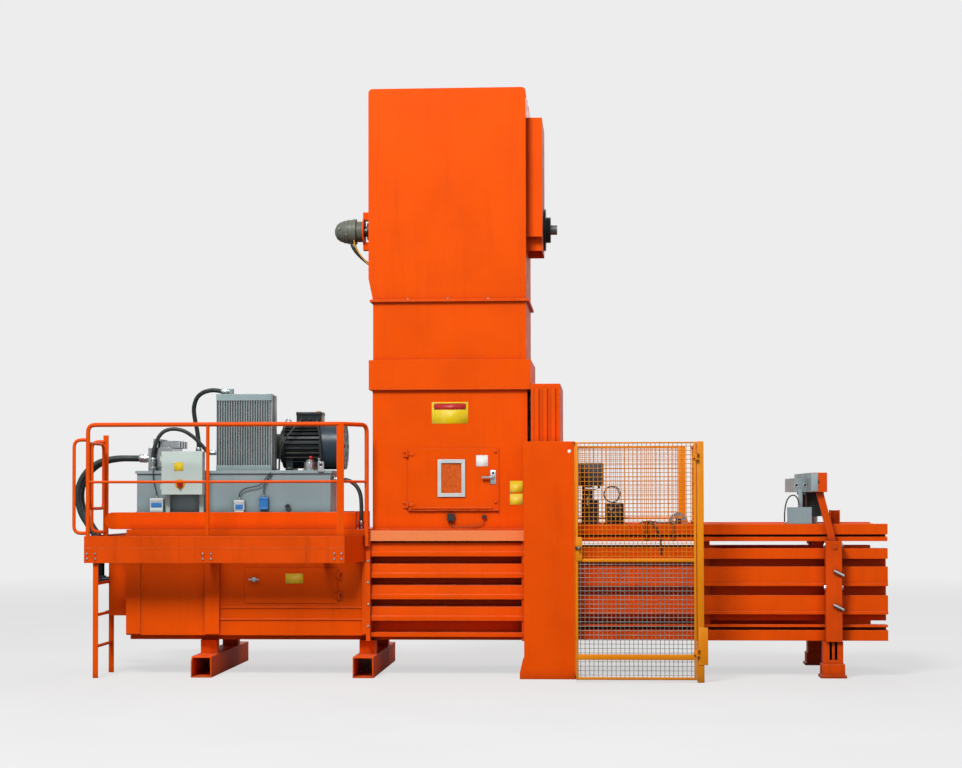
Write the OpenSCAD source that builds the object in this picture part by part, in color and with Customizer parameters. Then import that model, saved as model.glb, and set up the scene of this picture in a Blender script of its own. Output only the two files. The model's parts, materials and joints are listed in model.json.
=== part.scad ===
// Horizontal channel baler with feed hopper, paper ripper, automatic tying and a hydraulic power pack.
// X runs along the press towards the bale outlet, Y away from the working side, Z up from the shop floor.
// The origin is on the floor under the middle of the foot beam of the press box.

/* [Bale chamber] */
// Width of the bale, across the press
bale_w = 1100; // [1000:10:1160]
// Height of the bale
bale_h = 1000; // [960:10:1020]
// Height of the chamber floor above the shop floor
floor_z = 400; // [380:5:420]
// Thickness of the chamber plates
plate_t = 12; // [8:1:16]
// Inner length of the press box under the hopper
box_len = 1480; // [1460:5:1500]

/* [Press box walls] */
// Number of folded ribs on each side wall
rib_count = 4; // [3:1:5]
// Height from one rib to the next
rib_pitch = 207; // [190:1:215]
// How far the ribs stand out from the chamber plate
rib_depth = 150; // [120:5:170]

/* [Ram] */
// Length of the ram box
ram_len = 1610; // [1580:5:1640]
// Stroke of the main ram
ram_stroke = 1780; // [1700:10:1780]
// Radius of the main cylinder tube
cyl_r = 150; // [135:1:160]
// Radius of the piston
piston_r = 110; // [100:1:118]
// Radius of the piston rod
rod_r = 80; // [60:1:88]
// Radial clearance of the piston and the gland
seal_gap = 0.4; // [0.3:0.1:0.6]

/* [Ram house] */
// Length of the ram house
house_len = 2350; // [2300:10:2400]
// Distance of the outer house wall from the press centre line
house_y = 740; // [735:1:760]

/* [Hopper] */
// Width of the lower feed chute along the press
chute_w = 1510; // [1490:5:1520]
// Distance of the chute wall from the press centre line
chute_y = 620; // [600:5:640]
// Height of the top of the lower chute above the floor
chute_top = 2780; // [2740:5:2800]
// Height of the split between the chute and the rotor hood
hood_z = 3640; // [3600:5:3680]
// Height of the top of the rotor hood
hood_top = 5720; // [5600:10:5800]
// Sheet thickness of the hopper
sheet_t = 6; // [5:0.5:8]
// Height of the rotor axis
rotor_z = 4400; // [4380:5:4450]
// Radius of the rotor shaft
rotor_r = 50; // [40:1:60]

/* [Tying] */
// Number of tying wires
wires = 5; // [3:1:5]
// Distance from one wire to the next
wire_pitch = 190; // [180:5:195]
// Height of the raised needle housing
needle_top = 2820; // [2790:5:2860]
// Travel of the needles
needle_stroke = 1120; // [1080:5:1120]

/* [Guard cage] */
// Height of the guard cage
guard_h = 2240; // [2200:10:2300]
// Distance of the guard front from the press centre line
guard_y = 1350; // [1320:5:1380]
// Width of the guard door
door_w = 1120; // [1100:5:1130]

/* [Bale channel] */
// Position of the bale outlet along the press
outlet_x = 5000; // [4960:10:5040]
// Distance of the outer channel wall from the press centre line
channel_y = 700; // [690:1:715]
// Position of the clamp unit along the press
clamp_x = 4475; // [4440:5:4500]

/* [Platform] */
// Distance of the platform edge from the press centre line
platform_y = 1120; // [1100:5:1150]
// Height of the platform floor
platform_z = 1345; // [1335:1:1350]
// Height of the handrail above the platform floor
rail_h = 1100; // [1050:10:1150]
// Outer diameter of the handrail tube
rail_d = 42; // [38:1:48]

/* [Power pack] */
// Length of the oil tank
tank_len = 1930; // [1900:10:1960]
// Depth of the oil tank
tank_w = 860; // [840:5:900]
// Height of the oil tank
tank_h = 365; // [355:5:370]
// Radius of the electric motor
motor_r = 225; // [200:5:235]

/* [Hidden] */
$fn = 48;

orange = "#FF5A00";
guard_yellow = "#F08A00";
steel = "#9AA0A4";
dark = "#20282C";
tank_grey = "#7F9498";

seat = 0.3;
half_w = bale_w / 2;
wall_y = half_w + plate_t;
roof_z = floor_z + bale_h;
press_x0 = 50;
press_x1 = press_x0 + box_len;
chute_x1 = press_x0 + chute_w;
under = 65;
skid_z = floor_z - under;
house_x0 = -house_len;
ram_x1 = press_x0 - 90;
ram_x0 = ram_x1 - ram_len;
cyl_z = floor_z + bale_h / 2;
needle_x = 1690;
needle_zt = floor_z + bale_h + 90;
tower_x0 = press_x1 + 10;
tower_x1 = tower_x0 + 484;
door_x0 = tower_x1 + 10;
door_x1 = door_x0 + door_w;
post_w = 65;
flap_x0 = 3300;
flap_z = roof_z + 30;
rail_z = platform_z + rail_h;
plat_x0 = -2670;
plat_x1 = -160;
base_z0 = roof_z + 14;
base_z1 = base_z0 + 166;
tank_x0 = -2320;
tank_x1 = tank_x0 + tank_len;
tank_z1 = base_z1 + tank_h;
lid_z = tank_z1 + 45;
motor_z = lid_z + motor_r + 25;
motor_x0 = -940;
motor_y = 150;
cooler_x0 = -1540;
cooler_w = 555;
cooler_z1 = lid_z + 760;

function wire_y(i) = (i - (wires - 1) / 2) * wire_pitch;

// A block given by its lowest and highest corners.
module block(lo, hi) {
    translate(lo)
        cube(hi - lo);
}

// A round bar along X, Y or Z from a start point.
module bar_x(p, len, r) {
    translate(p)
        rotate([0, 90, 0])
            cylinder(h = len, r = r);
}
module bar_y(p, len, r) {
    translate(p)
        rotate([-90, 0, 0])
            cylinder(h = len, r = r);
}
module bar_z(p, len, r) {
    translate(p)
        cylinder(h = len, r = r);
}

// A profile in YZ carried along X, and one in XZ carried along Y.
module along_x(x0, x1) {
    translate([x0, 0, 0])
        rotate([90, 0, 90])
            linear_extrude(x1 - x0)
                children();
}
module along_y(y0, y1) {
    translate([0, y1, 0])
        rotate([90, 0, 0])
            linear_extrude(y1 - y0)
                children();
}

module both_sides() {
    children();
    mirror([0, 1, 0])
        children();
}

// A round tube swept along hand-set points, with a ring at each point square to the path.
function unit(v) = v / norm(v);
function path_dir(p, i) =
    unit(p[min(i + 1, len(p) - 1)] - p[max(i - 1, 0)]);
module sweep(p, r, sides) {
    n = len(p);
    rings = [for (i = [0 : n - 1])
        let (d = path_dir(p, i), h = abs(d.y) > 0.9 ? [1, 0, 0] : [0, 1, 0],
            u = unit(cross(d, h)), v = cross(d, u))
        for (k = [0 : sides - 1]) p[i] + r * (cos(360 * k / sides) * u + sin(360 * k / sides) * v)];
    walls = [for (i = [0 : n - 2]) for (k = [0 : sides - 1])
        [i * sides + k, (i + 1) * sides + k, (i + 1) * sides + (k + 1) % sides, i * sides + (k + 1) % sides]];
    first = [for (k = [0 : sides - 1]) k];
    last = [for (k = [sides - 1 : -1 : 0]) (n - 1) * sides + k];
    polyhedron(concat(rings), concat(walls, [first], [last]));
}

// Feet

foot_w = 200;
foot_wall = 12;
foot_len = 1000;
pedestal_w = 160;
module foot_beam(x, bevel) {
    difference() {
        block([x - foot_w / 2, -foot_len, 0], [x + foot_w / 2, foot_len, foot_w]);
        block([x - foot_w / 2 + foot_wall, -foot_len - 1, foot_wall],
            [x + foot_w / 2 - foot_wall, foot_len + 1, foot_w - foot_wall]);
        if (bevel > 0)
            both_sides()
                translate([x - foot_w / 2 - 1, -foot_len, foot_w])
                    rotate([45, 0, 0])
                        cube([foot_w + 2, bevel, bevel], center = true);
        both_sides()
            for (s = [-1, 1])
                bar_z([x + s * 60, -foot_len + 90, -1], foot_wall + 2, 11);
    }
    both_sides()
        block([x - pedestal_w / 2, -wall_y - 60, foot_w], [x + pedestal_w / 2, -wall_y + 60, skid_z - seat]);
}
module press_foot_beam() {
    color(orange)
        foot_beam(0, 0);
}
module house_foot_beam() {
    color(orange)
        foot_beam(-1560, 60);
}

// Press box and ram house

rib_z0 = 530;
ledge_h = 100;
flange_t = 40;
// One folded rib: a lip at the bottom, an upright web and a sloping top.
module rib_profile() {
    polygon([[0, 0], [rib_depth + 8, 0], [rib_depth + 8, 42], [rib_depth - 6, 50],
        [rib_depth - 14, rib_pitch - 75], [0, rib_pitch - 57]]);
}
module press_box() {
    color(orange) {
        both_sides() {
            along_x(0, press_x1) {
                translate([half_w, skid_z])
                    square([plate_t, roof_z - skid_z]);
                for (i = [0 : rib_count - 1])
                    translate([wall_y, rib_z0 + i * rib_pitch])
                        rib_profile();
                translate([wall_y, roof_z - ledge_h])
                    square([house_y - wall_y, ledge_h]);
                translate([wall_y, floor_z - 25])
                    square([house_y - 20 - wall_y, flange_t]);
                translate([wall_y - 100, skid_z])
                    square([100, floor_z - skid_z]);
            }
            block([0, wall_y, skid_z], [flange_t, house_y + 12, roof_z]);
            block([press_x1 - 25, wall_y, skid_z], [press_x1, rib_depth + wall_y, roof_z]);
        }
        block([0, -wall_y, floor_z - plate_t], [press_x1, wall_y, floor_z]);
        block([0, -wall_y, roof_z], [press_x0 + 10, wall_y, roof_z + plate_t]);
    }
}

house_rib_x = -1570;
house_door = [-1180, 700, -280, 1040];
skin_t = 8;
rear_t = 25;
module ram_house() {
    color(orange)
        difference() {
            union() {
                both_sides() {
                    block([house_x0, half_w, skid_z], [0, wall_y, roof_z]);
                    block([house_x0, house_y - skin_t, floor_z - plate_t], [0, house_y, roof_z]);
                    block([house_x0, wall_y - 100, skid_z], [0, wall_y, floor_z]);
                    for (x = [house_rib_x, house_door[0] - 60, house_door[2] + 60])
                        block([x - 5, wall_y, floor_z], [x + 5, house_y, roof_z]);
                    block([house_rib_x, house_y, floor_z], [house_rib_x + 140, house_y + 35, platform_z - 245]);
                    block([house_x0, house_y, floor_z], [house_x0 + 140, house_y + 12, platform_z - 245]);
                    block([house_rib_x + 140, house_y, 535], [0, house_y + 8, 550]);
                    block([house_rib_x + 140, house_y, 650], [0, house_y + 8, 665]);
                    block([-flange_t, house_y, floor_z], [0, house_y + 12, platform_z - 245]);
                }
                block([house_x0, -house_y, floor_z - plate_t], [0, house_y, floor_z]);
                block([house_x0, -house_y, roof_z], [0, house_y, roof_z + plate_t]);
                block([house_x0, -house_y, floor_z], [house_x0 + rear_t, house_y, roof_z]);
                ram_door_hinge();
            }
            bar_x([house_x0 - 1, 0, cyl_z], rear_t + 2, cyl_r + 1);
            block([house_door[0] + 20, -house_y - 1, house_door[1] + 20],
                [house_door[2] - 20, -house_y + skin_t + 1, house_door[3] - 20]);
        }
}

hinge_r = 11;
pin_r = 5;
pin_gap = 0.05;
ram_door_axis = [house_door[2] + 14, -house_y - hinge_r - 6];
ram_door_y = -house_y - seat;
ram_hinge_z = [house_door[1] + 50, house_door[3] - 90];
ram_handle = [house_door[0] + 90, 930];
module ram_door_hinge() {
    for (z = ram_hinge_z) {
        for (s = [-14.3, 40.3])
            translate([0, 0, z + s])
                union() {
                    bar_z([ram_door_axis.x, ram_door_axis.y, 0], 14, hinge_r);
                    block([ram_door_axis.x, ram_door_axis.y, 0], [ram_door_axis.x + 34, -house_y + 1, 14]);
                }
        bar_z([ram_door_axis.x, ram_door_axis.y, z - 14], 68, pin_r);
    }
}
module ram_door() {
    color(orange) {
        difference() {
            union() {
                block([house_door[0], ram_door_y - 8, house_door[1]], [house_door[2], ram_door_y, house_door[3]]);
                for (z = ram_hinge_z) {
                    block([house_door[2] - 30, ram_door_y - 16, z], [ram_door_axis.x, ram_door_y - 7, z + 40]);
                    bar_z([ram_door_axis.x, ram_door_axis.y, z], 40, hinge_r);
                }
            }
            for (z = ram_hinge_z)
                bar_z([ram_door_axis.x, ram_door_axis.y, z - 1], 42, pin_r + pin_gap);
            bar_y([ram_handle[0], ram_door_y - 9, ram_handle[1]], 10, 9.05);
        }
    }
}
module ram_door_handle() {
    color(steel) {
        bar_y([ram_handle[0], ram_door_y - 36, ram_handle[1]], 36, 9);
        bar_y([ram_handle[0], ram_door_y - 36, ram_handle[1]], 28 - seat, 24);
        block([ram_handle[0] - 50, ram_door_y - 48, ram_handle[1] - 8], [ram_handle[0] + 50, ram_door_y - 36, ram_handle[1] + 8]);
    }
}

gland_x = -500;
tube_x0 = gland_x - ram_stroke - 360;
// A rigid pipe from the end cap up to the hose fitting.
pipe_r = 24;
module ram_pipe() {
    bar_x([pipe_x, 0, cyl_z], tube_x0 - 25 - pipe_x, pipe_r);
    block([pipe_x - 34, -34, cyl_z - 34], [pipe_x + 34, 34, cyl_z + 34]);
    bar_z([pipe_x, 0, cyl_z], pipe_z - seat - cyl_z, pipe_r);
    bar_z([pipe_x, 0, pipe_z - 60], 60 - seat, 40);
}
module ram_cylinder() {
    color(dark)
        difference() {
            union() {
                bar_x([tube_x0, 0, cyl_z], gland_x - tube_x0, cyl_r);
                bar_x([tube_x0 - 30, 0, cyl_z], 90, cyl_r + 12);
                bar_x([gland_x, 0, cyl_z], 60, cyl_r + 12);
                block([house_x0 - 30, -210, cyl_z - 210], [house_x0 - seat, 210, cyl_z + 210]);
                bar_z([tube_x0 + 80, 0, cyl_z + cyl_r - 20], 60, 38);
                for (y = hose_y)
                    translate([0, y, 0])
                        ram_pipe();
            }
            bar_x([tube_x0 + 60, 0, cyl_z], gland_x - tube_x0 - 60, piston_r + seal_gap);
            bar_x([gland_x - 1, 0, cyl_z], 62, rod_r + seal_gap);
        }
}
piston_x = tube_x0 + 130;
nose_len = 180;
module ram_rod() {
    color(steel) {
        bar_x([piston_x, 0, cyl_z], 90, piston_r);
        bar_x([piston_x, 0, cyl_z], ram_x1 - nose_len - piston_x, rod_r);
        bar_x([ram_x1 - nose_len - 35, 0, cyl_z], 35, rod_r + 60);
    }
}
ram_gap = 4;
ram_wall = 25;
slot_w = 44;
slot_depth = 160;
module ram_box() {
    y1 = half_w - ram_gap;
    z0 = floor_z + ram_gap;
    z1 = roof_z - ram_gap;
    color("#7A7D80")
        difference() {
            union() {
                difference() {
                    block([ram_x0, -y1, z0], [ram_x1, y1, z1]);
                    block([ram_x0 - 1, -y1 + ram_wall, z0 + ram_wall], [ram_x1 - nose_len, y1 - ram_wall, z1 - ram_wall]);
                }
                both_sides()
                    block([ram_x0, y1 - 110, floor_z + seat], [ram_x1 - 60, y1 - 40, z0]);
                block([ram_x1 - 70, -y1, z1], [ram_x1, y1, roof_z - 1]);
            }
            for (i = [0 : wires - 1])
                block([ram_x1 - slot_depth, wire_y(i) - slot_w / 2, z0 - 5],
                    [ram_x1 + 1, wire_y(i) + slot_w / 2, roof_z + 1]);
        }
}
knife_w = 30;
module shear_knife() {
    color(steel)
        difference() {
            block([press_x1 - knife_w, -half_w, roof_z], [press_x1, half_w, roof_z + 45]);
            for (i = [0 : 5])
                bar_x([press_x1 - knife_w - 1, (i - 2.5) * 180, roof_z + 25], knife_w + 2, 9);
        }
}

// Hopper

door_lo = [398, 1592];
door_hi = [1282, 2197];
door_lap = 30;
chute_z0 = roof_z + seat;
// Four upright sheets round a shaft.
module shaft(x0, x1, y, z0, z1, t) {
    difference() {
        block([x0, -y, z0], [x1, y, z1]);
        block([x0 + t, -y + t, z0 - 1], [x1 - t, y - t, z1 + 1]);
    }
}
// A flat ring round a shaft, standing out by w.
module shaft_flange(x0, x1, y, z, w, h) {
    difference() {
        block([x0 - w, -y - w, z], [x1 + w, y + w, z + h]);
        block([x0 + sheet_t, -y + sheet_t, z - 1], [x1 - sheet_t, y - sheet_t, z + h + 1]);
    }
}
door_axis = [door_lo.x - 10, -chute_y - 18];
module feed_chute() {
    color(orange)
        difference() {
            union() {
                shaft(press_x0, chute_x1, chute_y, chute_z0, chute_top, sheet_t);
                both_sides()
                    block([press_x0, chute_y - 1, chute_z0], [chute_x1, chute_y + 40, chute_z0 + 16]);
                shaft_flange(press_x0, chute_x1, chute_y, chute_top - 12, 34, 12);
                for (z = [door_lo.y + 40, door_hi.y - 70])
                    for (s = [-14, 30])
                        translate([0, 0, z + s])
                            union() {
                                bar_z([door_axis.x, door_axis.y, 0], 14, hinge_r);
                                block([door_axis.x - 40, -chute_y - 8, 0], [door_axis.x, -chute_y, 14]);
                                block([door_axis.x - 12, door_axis.y, 0], [door_axis.x - 2, -chute_y, 14]);
                            }
                for (z = [door_lo.y + 40, door_hi.y - 70])
                    bar_z([door_axis.x, door_axis.y, z - 14], 58, pin_r);
            }
            block([door_lo.x + door_lap, -chute_y - 1, door_lo.y + door_lap],
                [door_hi.x - door_lap, -chute_y + sheet_t + 1, door_hi.y - door_lap]);
            block([press_x1, -chute_y - 50, chute_z0 - 1], [chute_x1 + 1, chute_y + 50, roof_z + plate_t + seat]);
            block([press_x0 - 1, -wall_y - 1, chute_z0 - 1], [press_x0 + 11, wall_y + 1, roof_z + plate_t + seat]);
        }
}
window_lo = [686, 1726];
window_hi = [955, 2090];
window_rim = 36;
module access_door() {
    color(orange)
        difference() {
            union() {
                block([door_lo.x, -chute_y - 8, door_lo.y], [door_hi.x, -chute_y - 2, door_hi.y]);
                block([door_lo.x, -chute_y - 24, door_lo.y], [door_hi.x, -chute_y - 8, door_lo.y + 6]);
                block([door_lo.x + 30, -chute_y - 16, door_lo.y + 18], [door_hi.x - 60, -chute_y - 8, door_lo.y + 34]);
                for (z = [door_lo.y + 40, door_hi.y - 70]) {
                    bar_z([door_axis.x, door_axis.y, z + 0.3], 29.4, hinge_r);
                    block([door_axis.x, -chute_y - 14, z + 0.3], [door_lo.x + 60, -chute_y - 8, z + 29.7]);
                }
                for (z = [door_lo.y + 75, door_hi.y - 40])
                    block([door_hi.x - 45, -chute_y - 20, z], [door_hi.x - 20, -chute_y - 8, z + 24]);
            }
            for (z = [door_lo.y + 40, door_hi.y - 70])
                bar_z([door_axis.x, door_axis.y, z - 1], 32, pin_r + pin_gap);
            block([window_lo.x + window_rim, -chute_y - 9, window_lo.y + window_rim],
                [window_hi.x - window_rim, -chute_y - 1, window_hi.y - window_rim]);
            bar_y([handle_x, -chute_y - 9, handle_z], 8, 8.05);
        }
}
module window_frame() {
    color("#E6ECEC")
        difference() {
            block([window_lo.x, -chute_y - 20, window_lo.y], [window_hi.x, -chute_y - 8, window_hi.y]);
            block([window_lo.x + window_rim, -chute_y - 21, window_lo.y + window_rim],
                [window_hi.x - window_rim, -chute_y - 7, window_hi.y - window_rim]);
        }
}
module window_pane() {
    color("#C8D8D8", 0.4)
        block([window_lo.x + window_rim + seat, -chute_y - 8, window_lo.y + window_rim + seat],
            [window_hi.x - window_rim - seat, -chute_y - 2, window_hi.y - window_rim - seat]);
}
handle_x = 1225;
handle_z = 1915;
module door_handle() {
    color(steel) {
        bar_y([handle_x, -chute_y - 34, handle_z], 33, 8);
        bar_y([handle_x, -chute_y - 34, handle_z], 25.7, 20);
        block([handle_x - 110, -chute_y - 46, handle_z - 9], [handle_x + 12, -chute_y - 34, handle_z + 9]);
    }
}
module door_interlock() {
    color(dark) {
        block([780, -chute_y - 40, 1495], [850, -chute_y - seat, 1562]);
        bar_z([815, -chute_y - 20, 1470], 25, 8);
        block([1120, -650, 1521], [1160, -chute_y - seat, 1545]);
    }
}

collar_top = 3060;
collar_out = 34;
mid_x0 = press_x0 + 5;
mid_x1 = chute_x1 - 10;
module chute_extension() {
    color(orange) {
        shaft(press_x0 - collar_out, chute_x1 + collar_out, chute_y + collar_out, chute_top, collar_top, sheet_t);
        difference() {
            block([press_x0 - collar_out, -chute_y - collar_out, collar_top - sheet_t],
                [chute_x1 + collar_out, chute_y + collar_out, collar_top]);
            block([mid_x0 + sheet_t, -chute_y + sheet_t, collar_top - sheet_t - 1],
                [mid_x1 - sheet_t, chute_y - sheet_t, collar_top + 1]);
        }
        shaft(mid_x0, mid_x1, chute_y, collar_top - sheet_t, hood_z - seat, sheet_t);
        shaft_flange(mid_x0, mid_x1, chute_y, hood_z - seat - 12, 30, 12);
    }
}

hood_x0 = 10;
hood_x1 = 1550;
inlet_z0 = 4850;
inlet_z1 = 5560;
// The hood seen from the front, drawn in by t: it narrows at its foot and has rounded top corners.
function hood_outline(t) = concat(
    [[mid_x0 + t, hood_z], [hood_x0 + t, hood_z + 220]],
    [for (a = [180 : -15 : 90]) [hood_x0 + 40 + (40 - t) * cos(a), hood_top - 40 + (40 - t) * sin(a)]],
    [for (a = [90 : -15 : 0]) [hood_x1 - 40 + (40 - t) * cos(a), hood_top - 40 + (40 - t) * sin(a)]],
    [[hood_x1 - t, hood_z]]);
module rotor_hood() {
    color(orange)
        difference() {
            union() {
                along_y(-chute_y, chute_y)
                    polygon(hood_outline(0));
                block([mid_x0 - 30, -chute_y - 30, hood_z], [mid_x1 + 30, chute_y + 30, hood_z + 12]);
                block([hood_x0 + 20, chute_y, inlet_z0 - 60], [hood_x1 - 20, chute_y + 60, inlet_z1 + 60]);
            }
            along_y(-chute_y + sheet_t, chute_y - sheet_t)
                polygon(hood_outline(sheet_t));
            block([mid_x0 + sheet_t, -chute_y + sheet_t, hood_z - 1], [mid_x1 - sheet_t, chute_y - sheet_t, hood_z + 14]);
            block([hood_x0 + 60, chute_y - sheet_t - 1, inlet_z0], [hood_x1 - 60, chute_y + 61, inlet_z1]);
            bar_x([hood_x0 - 60, 0, rotor_z], hood_x1 - hood_x0 + 120, rotor_r + 12);
        }
}
disc_count = 9;
tine_r = 340;
module ripper_rotor() {
    color("#6A6E70") {
        bar_x([-150, 0, rotor_z], 1990, rotor_r);
        bar_x([hood_x0 + 60, 0, rotor_z], hood_x1 - hood_x0 - 120, 150);
        for (i = [0 : disc_count - 1])
            translate([hood_x0 + 120 + i * 160, 0, rotor_z])
                rotate([15 * i, 0, 0])
                    rotate([0, 90, 0])
                        linear_extrude(16)
                            union() {
                                circle(r = 190);
                                for (k = [0 : 5])
                                    rotate(60 * k)
                                        polygon([[0, -70], [tine_r - 20, -26], [tine_r, -10], [tine_r, 24], [0, 60]]);
                            }
    }
}
module rotor_gearmotor() {
    color("#6B7266")
        difference() {
            translate([0, 0, rotor_z])
                rotate([0, 90, 0])
                    rotate_extrude()
                        polygon(concat(
                            [[0, -400]],
                            [for (k = [0 : 8]) let (t = k / 8) [30 + 92 * sqrt(t * (2 - t)), -400 + 180 * t]],
                            [[128, -214], [128, -182], [104, -182], [104, -112], [0, -112]]));
            bar_x([-150.3, 0, rotor_z], 60, rotor_r + pin_gap);
        }
}
module rotor_bearings() {
    color(orange) {
        difference() {
            union() {
                bar_x([-112 + seat, 0, rotor_z], 12, 140);
                for (s = [-1, 1])
                    block([-112 + seat, -50, rotor_z + s * 150 - 40], [hood_x0 - seat, 50, rotor_z + s * 150 + 40]);
                block([hood_x0 - 12, -90, rotor_z - 200], [hood_x0 - seat, 90, rotor_z + 200]);
            }
            bar_x([-120, 0, rotor_z], 140, rotor_r + 8);
        }
    }
    color(dark) {
        difference() {
            union() {
                bar_x([cover_x1 + seat, 0, rotor_z], 70, 130);
                bar_x([cover_x1 + seat, 0, rotor_z], 22, 210);
            }
            bar_x([cover_x1 - 1, 0, rotor_z], 80, rotor_r + pin_gap);
        }
        difference() {
            bar_x([-70, 0, rotor_z], 66, 88);
            bar_x([-71, 0, rotor_z], 70, rotor_r + pin_gap);
        }
    }
}
cover_x1 = 1705;
module drive_cover() {
    color(orange)
        difference() {
            union() {
                block([hood_x1 + seat, -500, 4270], [cover_x1, 300, 5440]);
                block([hood_x1 + seat, -420, 4140], [cover_x1, 220, 4271]);
            }
            block([hood_x1 - 1, -494, 4276], [cover_x1 - 6, 294, 5434]);
            block([hood_x1 - 1, -414, 4139], [cover_x1 - 6, 214, 4262]);
            bar_x([hood_x1 - 5, 0, rotor_z], 200, rotor_r + 12);
        }
}

// Tying unit

tower_y0 = -1050;
tower_y1 = -channel_y - 12 - seat;
tower_z = guard_h + 10;
module tower_cover() {
    color(orange) {
        difference() {
            block([tower_x0, tower_y0, 0], [tower_x1, tower_y1, tower_z]);
            block([tower_x0 + sheet_t, tower_y0 + sheet_t, 12], [tower_x1 - sheet_t, tower_y1 + 1, tower_z - sheet_t]);
            bar_y([tower_x1 - 52, tower_y0 - 1, tower_z - 92], 20, 16);
        }
        translate([tower_x0, tower_y0, 0])
            rotate([-90, 0, 0])
                linear_extrude(tower_y1 - tower_y0 - 60)
                    polygon([[0, 0], [-42, 0], [-42, -60], [-12, -190], [0, -190]]);
    }
}
nh_x0 = chute_x1 + 36;
nh_x1 = nh_x0 + 284;
nh_y = channel_y - 30;
nh_z0 = roof_z + plate_t + seat;
module needle_housing() {
    color(orange) {
        difference() {
            block([nh_x0, -nh_y, nh_z0], [nh_x1, nh_y, needle_top]);
            block([nh_x0 + sheet_t, -nh_y + sheet_t, nh_z0 - 1], [nh_x1 - sheet_t, nh_y - sheet_t, needle_top - sheet_t]);
        }
        both_sides()
            for (i = [0 : 2])
                block([nh_x0 + 40 + i * 80, nh_y - 1, nh_z0], [nh_x0 + 76 + i * 80, nh_y + 18, needle_top - 40]);
    }
}
needle_r = 14;
beam_z = needle_zt + 1200;
rail_y = 500;
lift_y = wall_y + 53;
lift_rod_r = 22;
lift_r = 45;
lift_z1 = roof_z + 60;
module needle_carriage() {
    color("#8A4A20")
        difference() {
            union() {
                block([needle_x - 40, -lift_y - 35, beam_z], [needle_x + 40, lift_y + 35, beam_z + 70]);
                both_sides()
                    bar_z([needle_x, rail_y, beam_z - 60], 60, 48);
            }
            both_sides()
                bar_z([needle_x, rail_y, beam_z - 61], 140, 25.05);
        }
    color(steel) {
        for (i = [0 : wires - 1])
            difference() {
                union() {
                    bar_z([needle_x, wire_y(i), needle_zt + 60], 1140, needle_r);
                    translate([needle_x, wire_y(i), needle_zt])
                        cylinder(h = 60, r1 = 4, r2 = needle_r);
                }
                bar_x([needle_x - 20, wire_y(i), needle_zt + 52], 40, 5);
            }
        both_sides() {
            bar_z([needle_x, lift_y, lift_z1 - 120], beam_z - lift_z1 + 120, lift_rod_r);
            bar_z([needle_x, lift_y, lift_z1 - 140], 40, 34);
        }
    }
}
module needle_rails() {
    color(steel)
        both_sides()
            bar_z([needle_x, rail_y, nh_z0], needle_top - sheet_t - seat - nh_z0, 25);
}
module needle_cylinder() {
    color(dark)
        both_sides()
            difference() {
                union() {
                    bar_z([needle_x, lift_y, lift_z1 - needle_stroke - 190], needle_stroke + 190, lift_r);
                    for (z = [floor_z + 60, roof_z - 120])
                        block([needle_x - 40, wall_y + seat, z], [needle_x + 40, lift_y, z + 60]);
                }
                bar_z([needle_x, lift_y, lift_z1 - needle_stroke - 160], needle_stroke + 130, 34.4);
                bar_z([needle_x, lift_y, lift_z1 - 40], 50, lift_rod_r + 0.4);
            }
}

// Guard cage

mesh_pitch = 110;
wire_r = 3;
// A welded mesh of square rods in a frame, lying in a plane that is across Y.
module mesh_xz(lo, hi, y, t) {
    for (x = [lo.x + mesh_pitch / 2 : mesh_pitch : hi.x])
        block([x - wire_r, y - wire_r, lo.y], [x + wire_r, y + wire_r, hi.y]);
    for (z = [lo.y + mesh_pitch / 2 : mesh_pitch : hi.y])
        block([lo.x, y - wire_r, z - wire_r], [hi.x, y + wire_r, z + wire_r]);
}
module mesh_yz(lo, hi, x) {
    for (y = [lo.x + mesh_pitch / 2 : mesh_pitch : hi.x])
        block([x - wire_r, y - wire_r, lo.y], [x + wire_r, y + wire_r, hi.y]);
    for (z = [lo.y + mesh_pitch / 2 : mesh_pitch : hi.y])
        block([x - wire_r, lo.x, z - wire_r], [x + wire_r, hi.x, z + wire_r]);
}
post_x0 = door_x1 + 4;
post_x1 = post_x0 + post_w;
stile = 24;
guard_axis = [post_x0 - 2, -guard_y - stile / 2 - hinge_r - 1];
module guard_frame() {
    color(guard_yellow) {
        block([post_x0, -guard_y, 0], [post_x1, -guard_y + 40, guard_h]);
        block([post_x0 + 12, -guard_y - 6, 164], [post_x1 + 34, -guard_y, 512]);
        cage_side();
        block([door_x0 - 9.7, -guard_y + 4, 30], [door_x0 - 1, tower_y0 + 60, 70]);
        block([door_x0 - 9.7, -guard_y + 4, guard_h - 40], [door_x0 - 1, tower_y0 + 60, guard_h]);
        block([door_x0 - 9.7, -guard_y + 4, 30], [door_x0 - 1, -guard_y + 30, guard_h]);
        for (z = [260, guard_h - 160])
            for (s = [-14.3, 40.3])
                translate([0, 0, z + s])
                    union() {
                        bar_z([guard_axis.x, guard_axis.y, 0], 14, hinge_r);
                        block([guard_axis.x + 2, guard_axis.y - 4, 0], [post_x0 + 20, -guard_y + 2, 14]);
                    }
        for (z = [260, guard_h - 160])
            bar_z([guard_axis.x, guard_axis.y, z - 14.3], 68.6, pin_r);
    }
}
side_x = 3200;
side_y = channel_y + 12 + seat;
module cage_side() {
    // Side panel from the front post to the channel, and on over the channel to the rear fence.
    block([side_x - 12, -guard_y + 40, 60], [side_x + 12, -side_y, 90]);
    block([side_x - 12, -guard_y + 40, guard_h - 24], [side_x + 12, channel_y - 60, guard_h]);
    block([side_x - 12, -side_y - 24, 60], [side_x + 12, -side_y, guard_h]);
    block([side_x - 12, -side_y - 1, channel_top + seat], [side_x + 12, channel_y - 60, channel_top + 24]);
    mesh_yz([-guard_y + 40, 90], [-side_y - 20, guard_h - 24], side_x);
    mesh_yz([-side_y, channel_top + 24], [channel_y - 60, guard_h - 24], side_x);
}
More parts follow.
